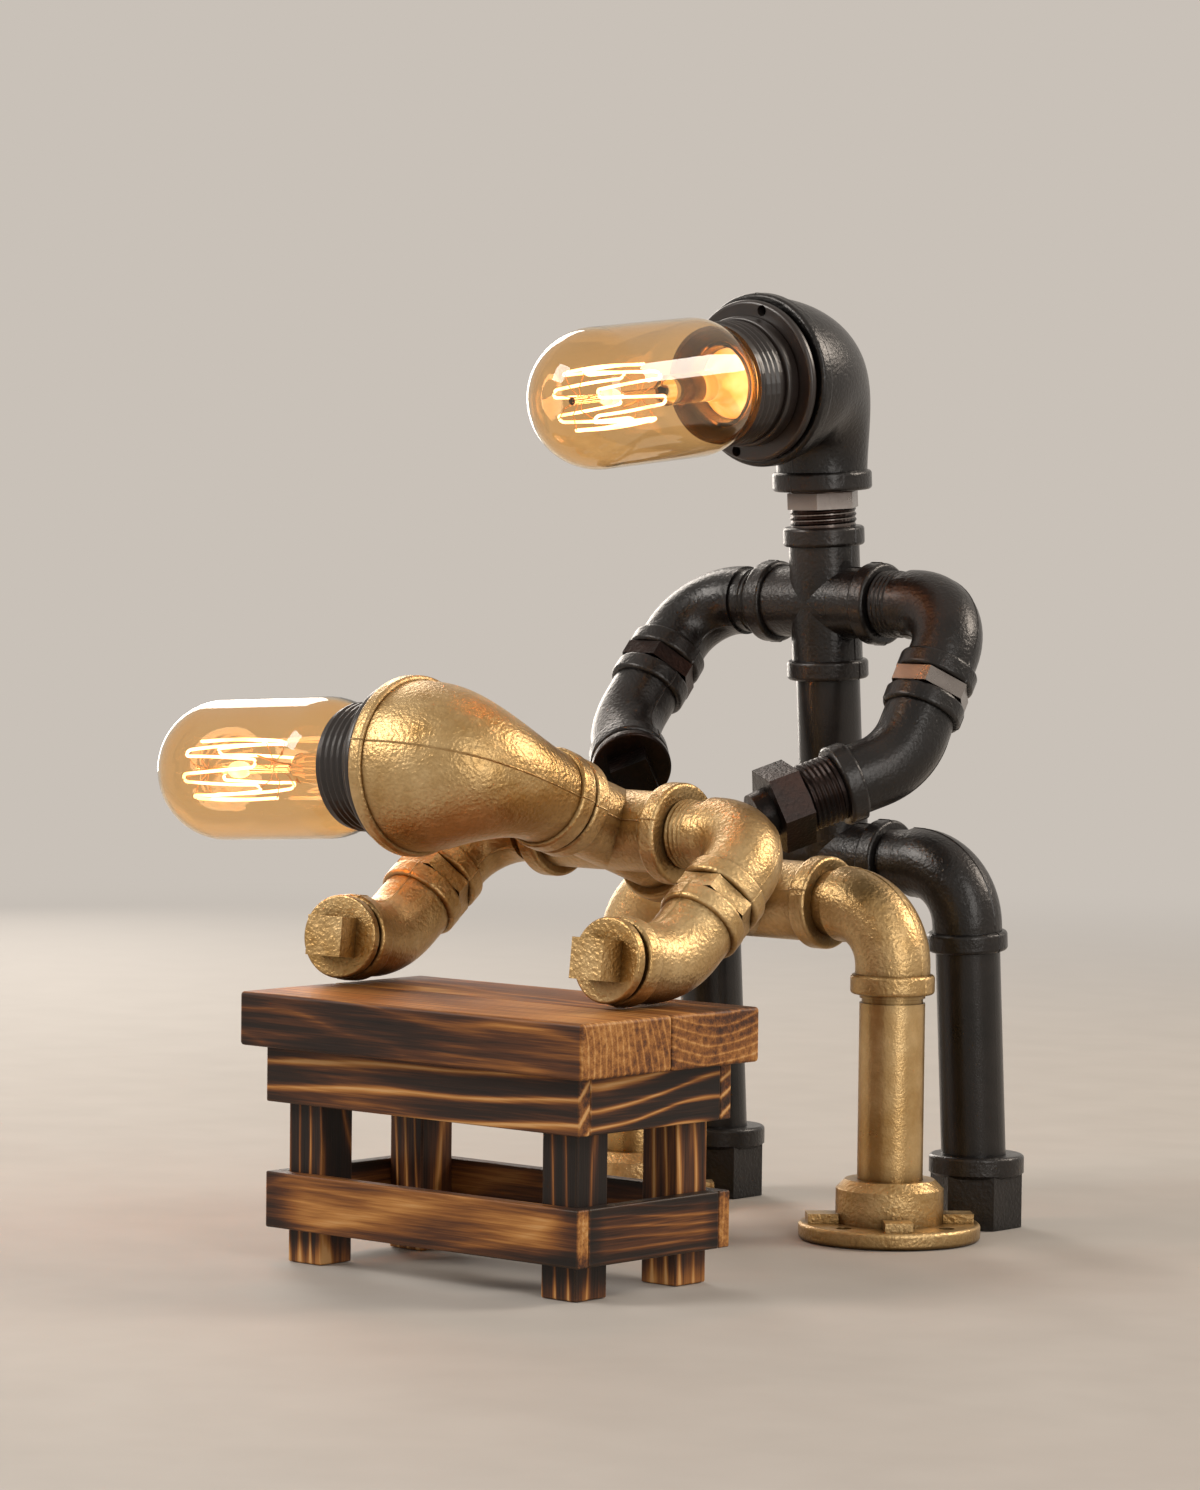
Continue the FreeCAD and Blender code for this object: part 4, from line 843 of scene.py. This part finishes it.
class LAMP_OT_bulbs(bpy.types.Operator):
    """Tint the bulbs, wind their filaments and light them"""

    bl_idname = "lamp.bulbs"
    bl_label = "Bulbs"

    def execute(self, context):
        bulb = context.scene.lamp_bulb
        amber = tinted_glass("amber_glass", "#ffe8c2", "#ffdfae", "#ffdca8")
        clear = tinted_glass("clear_glass", "#fff6e6", "#fff1da", "#fff0d8")
        glow = glowing_wire(bulb.glow)
        # painted light: the flare and the bead glow by emission for the filament's light they
        # catch
        flare_glass = glass_with_painted_glow("flare_glass", "#ffecc0", "#ffc66a", 0.85)
        bead_glass = glass_with_painted_glow("bead_glass", "#ffd890", "#fff2cf", 1.8)
        # painted light: the hooks carry a warm glow of the filament, as tint and faint
        # emission
        steel = drawn_steel()
        for figure, place in HOLDERS.items():
            dress(amber, figure + "_bulb_glass")
            dress(clear, figure + "_bulb_stem")
            dress(glow, figure + "_bulb_filament")
            where = axis_matrix(*place)
            body = HOME[figure + "_bulb_glass"]
            builder = bmesh.new()
            wire_tube(builder, where, hairpin_path(bulb.cage_mm, bulb.hairpins),
                      bulb.wire_mm, closed=True)
            wire = mesh_object(figure + "_bulb_hairpins", builder, glow, body)
            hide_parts(figure + "_bulb_filament")
            # blown glass, drawn as one wall with an inside and an outside
            outer = glass_profile(bulb.radius_mm)
            inner = glass_profile(bulb.radius_mm, bulb.wall_mm)
            builder = bmesh.new()
            for profile in (outer, inner[::-1], [inner[0], outer[0]]):
                lathe(builder, where, profile, around=96)
            bmesh.ops.remove_doubles(builder, verts=builder.verts, dist=0.003 * MM)
            bmesh.ops.recalc_face_normals(builder, faces=builder.faces)
            blown = mesh_object(figure + "_bulb_blown_glass", builder, amber, body)
            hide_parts(figure + "_bulb_glass")
            # hooks from the rod over a knee to the bends, and two leads from the pinch
            builder = bmesh.new()
            step = math.pi / bulb.hairpins
            for number in range(bulb.hairpins):
                for end, way, turn, root in ((CAGE_HIGH, 1, 0, -1.5), (CAGE_LOW, -1, 1, 1.0)):
                    start = step * 2 * number
                    points = [turn_point(1.2, start, end + root),
                              turn_point(4.5, start + step * (turn + 0.2), end + way * 1.2),
                              turn_point(bulb.cage_mm, start + step * (turn + 0.5),
                                         end + way * 0.3)]
                    wire_tube(builder, where, points, HOOK_WIRE, sides=6)
            for side in (0.5, math.pi + 0.5):
                points = [turn_point(2.6, side, MOUTH + 27.0),
                          turn_point(4.2, side, MOUTH + 31.0),
                          turn_point(bulb.cage_mm, side, CAGE_LOW)]
                wire_tube(builder, where, points, LEAD_WIRE, sides=6)
            mesh_object(figure + "_bulb_hooks", builder, steel, body)
            # flare of the stem, where the glow in the neck is painted on as emission
            builder = bmesh.new()
            lathe(builder, where, FLARE)
            mesh_object(figure + "_bulb_flare", builder, flare_glass, body)
            # bead that steadies the rod half way up the cage, its glow painted on as emission
            builder = bmesh.new()
            middle = (CAGE_LOW + CAGE_HIGH) / 2
            rod, bulge, half = 0.9, 1.9, 4.0
            swings = [math.pi * share / 12 for share in range(1, 12)]
            lathe(builder, where, [(rod + bulge * math.sin(swing),
                                    middle - half * math.cos(swing)) for swing in swings],
                  around=32)
            mesh_object(figure + "_bulb_bead", builder, bead_glass, body)
        return {"FINISHED"}


# ---- Bench ----
class LAMP_OT_bench(bpy.types.Operator):
    """Torch and wax the boards of the bench"""

    bl_idname = "lamp.bench"
    bl_label = "Bench timber"

    def execute(self, context):
        bench = context.scene.lamp_bench
        sway = bench.sway_mm
        fine, wide = bench.fine_ring_mm, bench.wide_ring_mm
        # pith: the log's heart in mm; lines: contrast of the rings; ends, sides: char;
        # gain, painted_top_light, tips: paler all over, painted light on the top face, paler
        # on the sawn end faces
        boards = {
            "bench_slab_front": {
                "grain": "X", "pith": (-232.0, 66.0), "ring_mm": fine, "lines": 0.26,
                "seed": 1.0, "sway_mm": sway * 0.5, "ends": 0.15, "gain": 0.1, "painted_top_light": 0.3,
                "tips": 0.32},
            "bench_slab_back": {
                "grain": "X", "pith": (-122.0, 150.0), "ring_mm": fine, "lines": 0.3,
                "seed": 4.0, "sway_mm": sway * 0.6, "ends": 0.1, "gain": 0.2, "painted_top_light": 0.18,
                "tips": 0.3},
            "bench_long_aprons": {
                "grain": "X", "pith": (-60.0, -40.0), "ring_mm": wide * 0.6, "lines": 0.85,
                "seed": 9.0, "sway_mm": sway * 1.5, "ends": 0.1, "gain": 0.1, "tips": 0.3},
            "bench_long_rails": {
                "grain": "X", "pith": (-260.0, 30.0), "ring_mm": fine, "lines": 0.2,
                "seed": 12.0, "sway_mm": sway * 0.4, "ends": 0.4, "sides": 0.2,
                "gain": 0.2, "tips": 0.5},
            "bench_short_aprons": {
                "grain": "Y", "pith": (-60.0, -40.0), "ring_mm": wide * 0.6, "lines": 0.85,
                "seed": 15.0, "sway_mm": sway * 1.3, "ends": 0.1, "gain": 0.08,
                "tips": 0.3},
            "bench_short_rails": {
                "grain": "Y", "pith": (40.0, 60.0), "ring_mm": fine, "lines": 0.25,
                "seed": 17.0, "sway_mm": sway * 0.5, "ends": 0.25, "sides": 0.3,
                "gain": 0.1, "tips": 0.5},
            "bench_legs": {
                "grain": "Z", "pith": (-20.0, -150.0), "ring_mm": fine * 1.5, "lines": 0.7,
                "seed": 21.0, "sway_mm": sway * 0.4, "ends": -0.35, "gain": 0.04},
        }
        for node, look in boards.items():
            dress(torched_pine("torched_pine_" + node[6:], node, **look), node)
        return {"FINISHED"}


# ---- Stage ----
MIDDLE = (-0.05, -0.05, 0.14)


def area_light(name, spot, size, watts, tint, tall=None):
    """A soft rectangle of light that looks at the middle of the lamp."""
    data = bpy.data.lights.new(name, "AREA")
    data.shape = "RECTANGLE"
    data.size = size
    data.size_y = tall or size
    data.energy = watts
    data.color = linear(tint)[:3]
    light = bpy.data.objects.new(name, data)
    light.visible_transmission = False
    light.location = spot
    light.rotation_euler = (Vector(MIDDLE) - Vector(spot)).to_track_quat("-Z", "Y").to_euler()
    bpy.context.scene.collection.objects.link(light)


def seen_rays(tree):
    """1 for the rays that show the backdrop: seen, mirrored or through glass."""
    path = add(tree, "LightPath").outputs
    either = add(tree, "Math", {0: path["Is Camera Ray"], 1: path["Is Glossy Ray"]},
                 operation="MAXIMUM")
    return add(tree, "Math", {0: either, 1: path["Is Transmission Ray"]},
               operation="MAXIMUM")


class LAMP_OT_stage(bpy.types.Operator):
    """Lay the floor, hang the lights and stand the camera"""

    bl_idname = "lamp.stage"
    bl_label = "Stage"

    def execute(self, context):
        stage = context.scene.lamp_stage
        scene = context.scene
        half = stage.floor / 2
        builder = bmesh.new()
        corners = [(-half, -half), (half, -half), (half, half), (-half, half)]
        builder.faces.new([builder.verts.new((x, y, -0.2 * MM)) for x, y in corners])
        mesh = bpy.data.meshes.new("studio_floor")
        builder.to_mesh(mesh)
        builder.free()
        # matt paper with faint clouds of 33 mm, grey where the lamp stands
        paper, tree, place = new_material("studio_paper")
        tooth = add(tree, "TexNoise", {"Vector": place, "Scale": 30.0, "Detail": 2.0})
        tone = add(tree, "ValToRGB", {"Fac": tooth}, [(0.3, "#b6b1ab"), (0.7, "#bbb6b0")])
        near = add(tree, "BsdfPrincipled", {"Base Color": tone, "Roughness": 0.8})
        # away from the lamp the paper runs into the backdrop's own tone
        away = add(tree, "VectorMath", {0: place}, operation="LENGTH").outputs["Value"]
        fade = add(tree, "MapRange", {"Value": away, "From Min": 0.35, "From Max": 1.6},
                   interpolation_type="SMOOTHSTEP")
        share = add(tree, "Math", {0: fade, 1: seen_rays(tree)}, operation="MULTIPLY")
        far = add(tree, "Emission", {"Color": stage.backdrop[:]})
        blend = add(tree, "MixShader", {"Fac": share, 1: near, 2: far})
        add(tree, "OutputMaterial", {"Surface": blend})
        mesh.materials.append(paper)
        floor = bpy.data.objects.new("studio_floor", mesh)
        scene.collection.objects.link(floor)

        world = bpy.data.worlds.new("studio")
        world.use_nodes = True
        scene.world = world
        tree = world.node_tree
        tree.nodes.clear()
        room = add(tree, "Background", {"Color": stage.backdrop[:], "Strength": 0.6})
        sky = add(tree, "Background", {"Color": stage.backdrop[:]})
        blend = add(tree, "MixShader", {"Fac": seen_rays(tree), 1: room, 2: sky})
        add(tree, "OutputWorld", {"Surface": blend})

        area_light("key", (-0.75, -1.15, 1.05), size=0.6, watts=13.0, tint="#fff8f0")
        area_light("fill", (1.3, -0.55, 0.55), size=0.35, watts=6.0, tint="#fffaf4", tall=1.1)
        area_light("rim", (0.75, 0.95, 0.95), size=0.5, watts=11.0, tint="#fff0e0")
        area_light("edge", (-1.1, 0.55, 0.55), size=0.35, watts=7.0, tint="#fff5ea", tall=1.0)
        # a small warm light in the heart of each bulb
        heart = 70 * MM
        for figure, (spot, along) in HOLDERS.items():
            glow = bpy.data.lights.new(figure + "_glow", "POINT")
            glow.energy = 0.16
            glow.color = linear("#ffae5a")[:3]
            glow.shadow_soft_size = 12 * MM
            lamp = bpy.data.objects.new(figure + "_glow", glow)
            lamp.location = in_metres(spot) + Vector(along) * heart
            lamp.visible_glossy = False
            lamp.visible_transmission = False
            scene.collection.objects.link(lamp)

        data = bpy.data.cameras.new("camera")
        data.lens = stage.lens
        data.sensor_width = 36.0
        data.clip_end = 50.0
        camera = bpy.data.objects.new("camera", data)
        turn, tilt, bank = stage.azimuth, stage.pitch, stage.roll
        right = Vector((math.cos(turn), math.sin(turn), 0))
        ahead = Vector((-math.sin(turn) * math.cos(tilt), math.cos(turn) * math.cos(tilt),
                        -math.sin(tilt)))
        up = right.cross(ahead)
        across = right * math.cos(bank) + up * math.sin(bank)
        upright = up * math.cos(bank) - right * math.sin(bank)
        turned = Matrix((across, upright, -ahead)).transposed().to_4x4()
        camera.matrix_world = Matrix.Translation(Vector(stage.eye)) @ turned
        scene.collection.objects.link(camera)
        scene.camera = camera
        scene.view_settings.view_transform = "Standard"
        return {"FINISHED"}


# ---- Panel and start ----
STEPS = ("finishes", "threads", "partings", "holders", "bulbs", "bench", "stage")


class LAMP_PT_panel(bpy.types.Panel):
    """Settings and steps of the lamp"""

    bl_idname = "LAMP_PT_panel"
    bl_label = "Pipe Figure Lamp"
    bl_space_type = "VIEW_3D"
    bl_region_type = "UI"
    bl_category = "Lamp"

    def draw(self, context):
        layout = self.layout
        for group in GROUPS:
            settings = getattr(context.scene, group)
            box = layout.box()
            for name in settings.bl_rna.properties.keys():
                if name not in ("rna_type", "name"):
                    box.prop(settings, name)
        for step in STEPS:
            layout.operator("lamp." + step)


GROUPS = {
    "lamp_finish": LampFinish,
    "lamp_thread": LampThread,
    "lamp_casting": LampCasting,
    "lamp_bulb": LampBulb,
    "lamp_bench": LampBench,
    "lamp_stage": LampStage,
}
OPERATORS = (LAMP_OT_finishes, LAMP_OT_threads, LAMP_OT_partings, LAMP_OT_holders,
             LAMP_OT_bulbs, LAMP_OT_bench, LAMP_OT_stage)


def register():
    for group, settings in GROUPS.items():
        bpy.utils.register_class(settings)
        setattr(bpy.types.Scene, group, PointerProperty(type=settings))
    for item in (*OPERATORS, LAMP_PT_panel):
        bpy.utils.register_class(item)


def unregister():
    for item in (LAMP_PT_panel, *reversed(OPERATORS)):
        bpy.utils.unregister_class(item)
    for group, settings in reversed(GROUPS.items()):
        delattr(bpy.types.Scene, group)
        bpy.utils.unregister_class(settings)


def main():
    register()
    for step in STEPS:
        getattr(bpy.ops.lamp, step)()


if __name__ == "__main__":
    main()
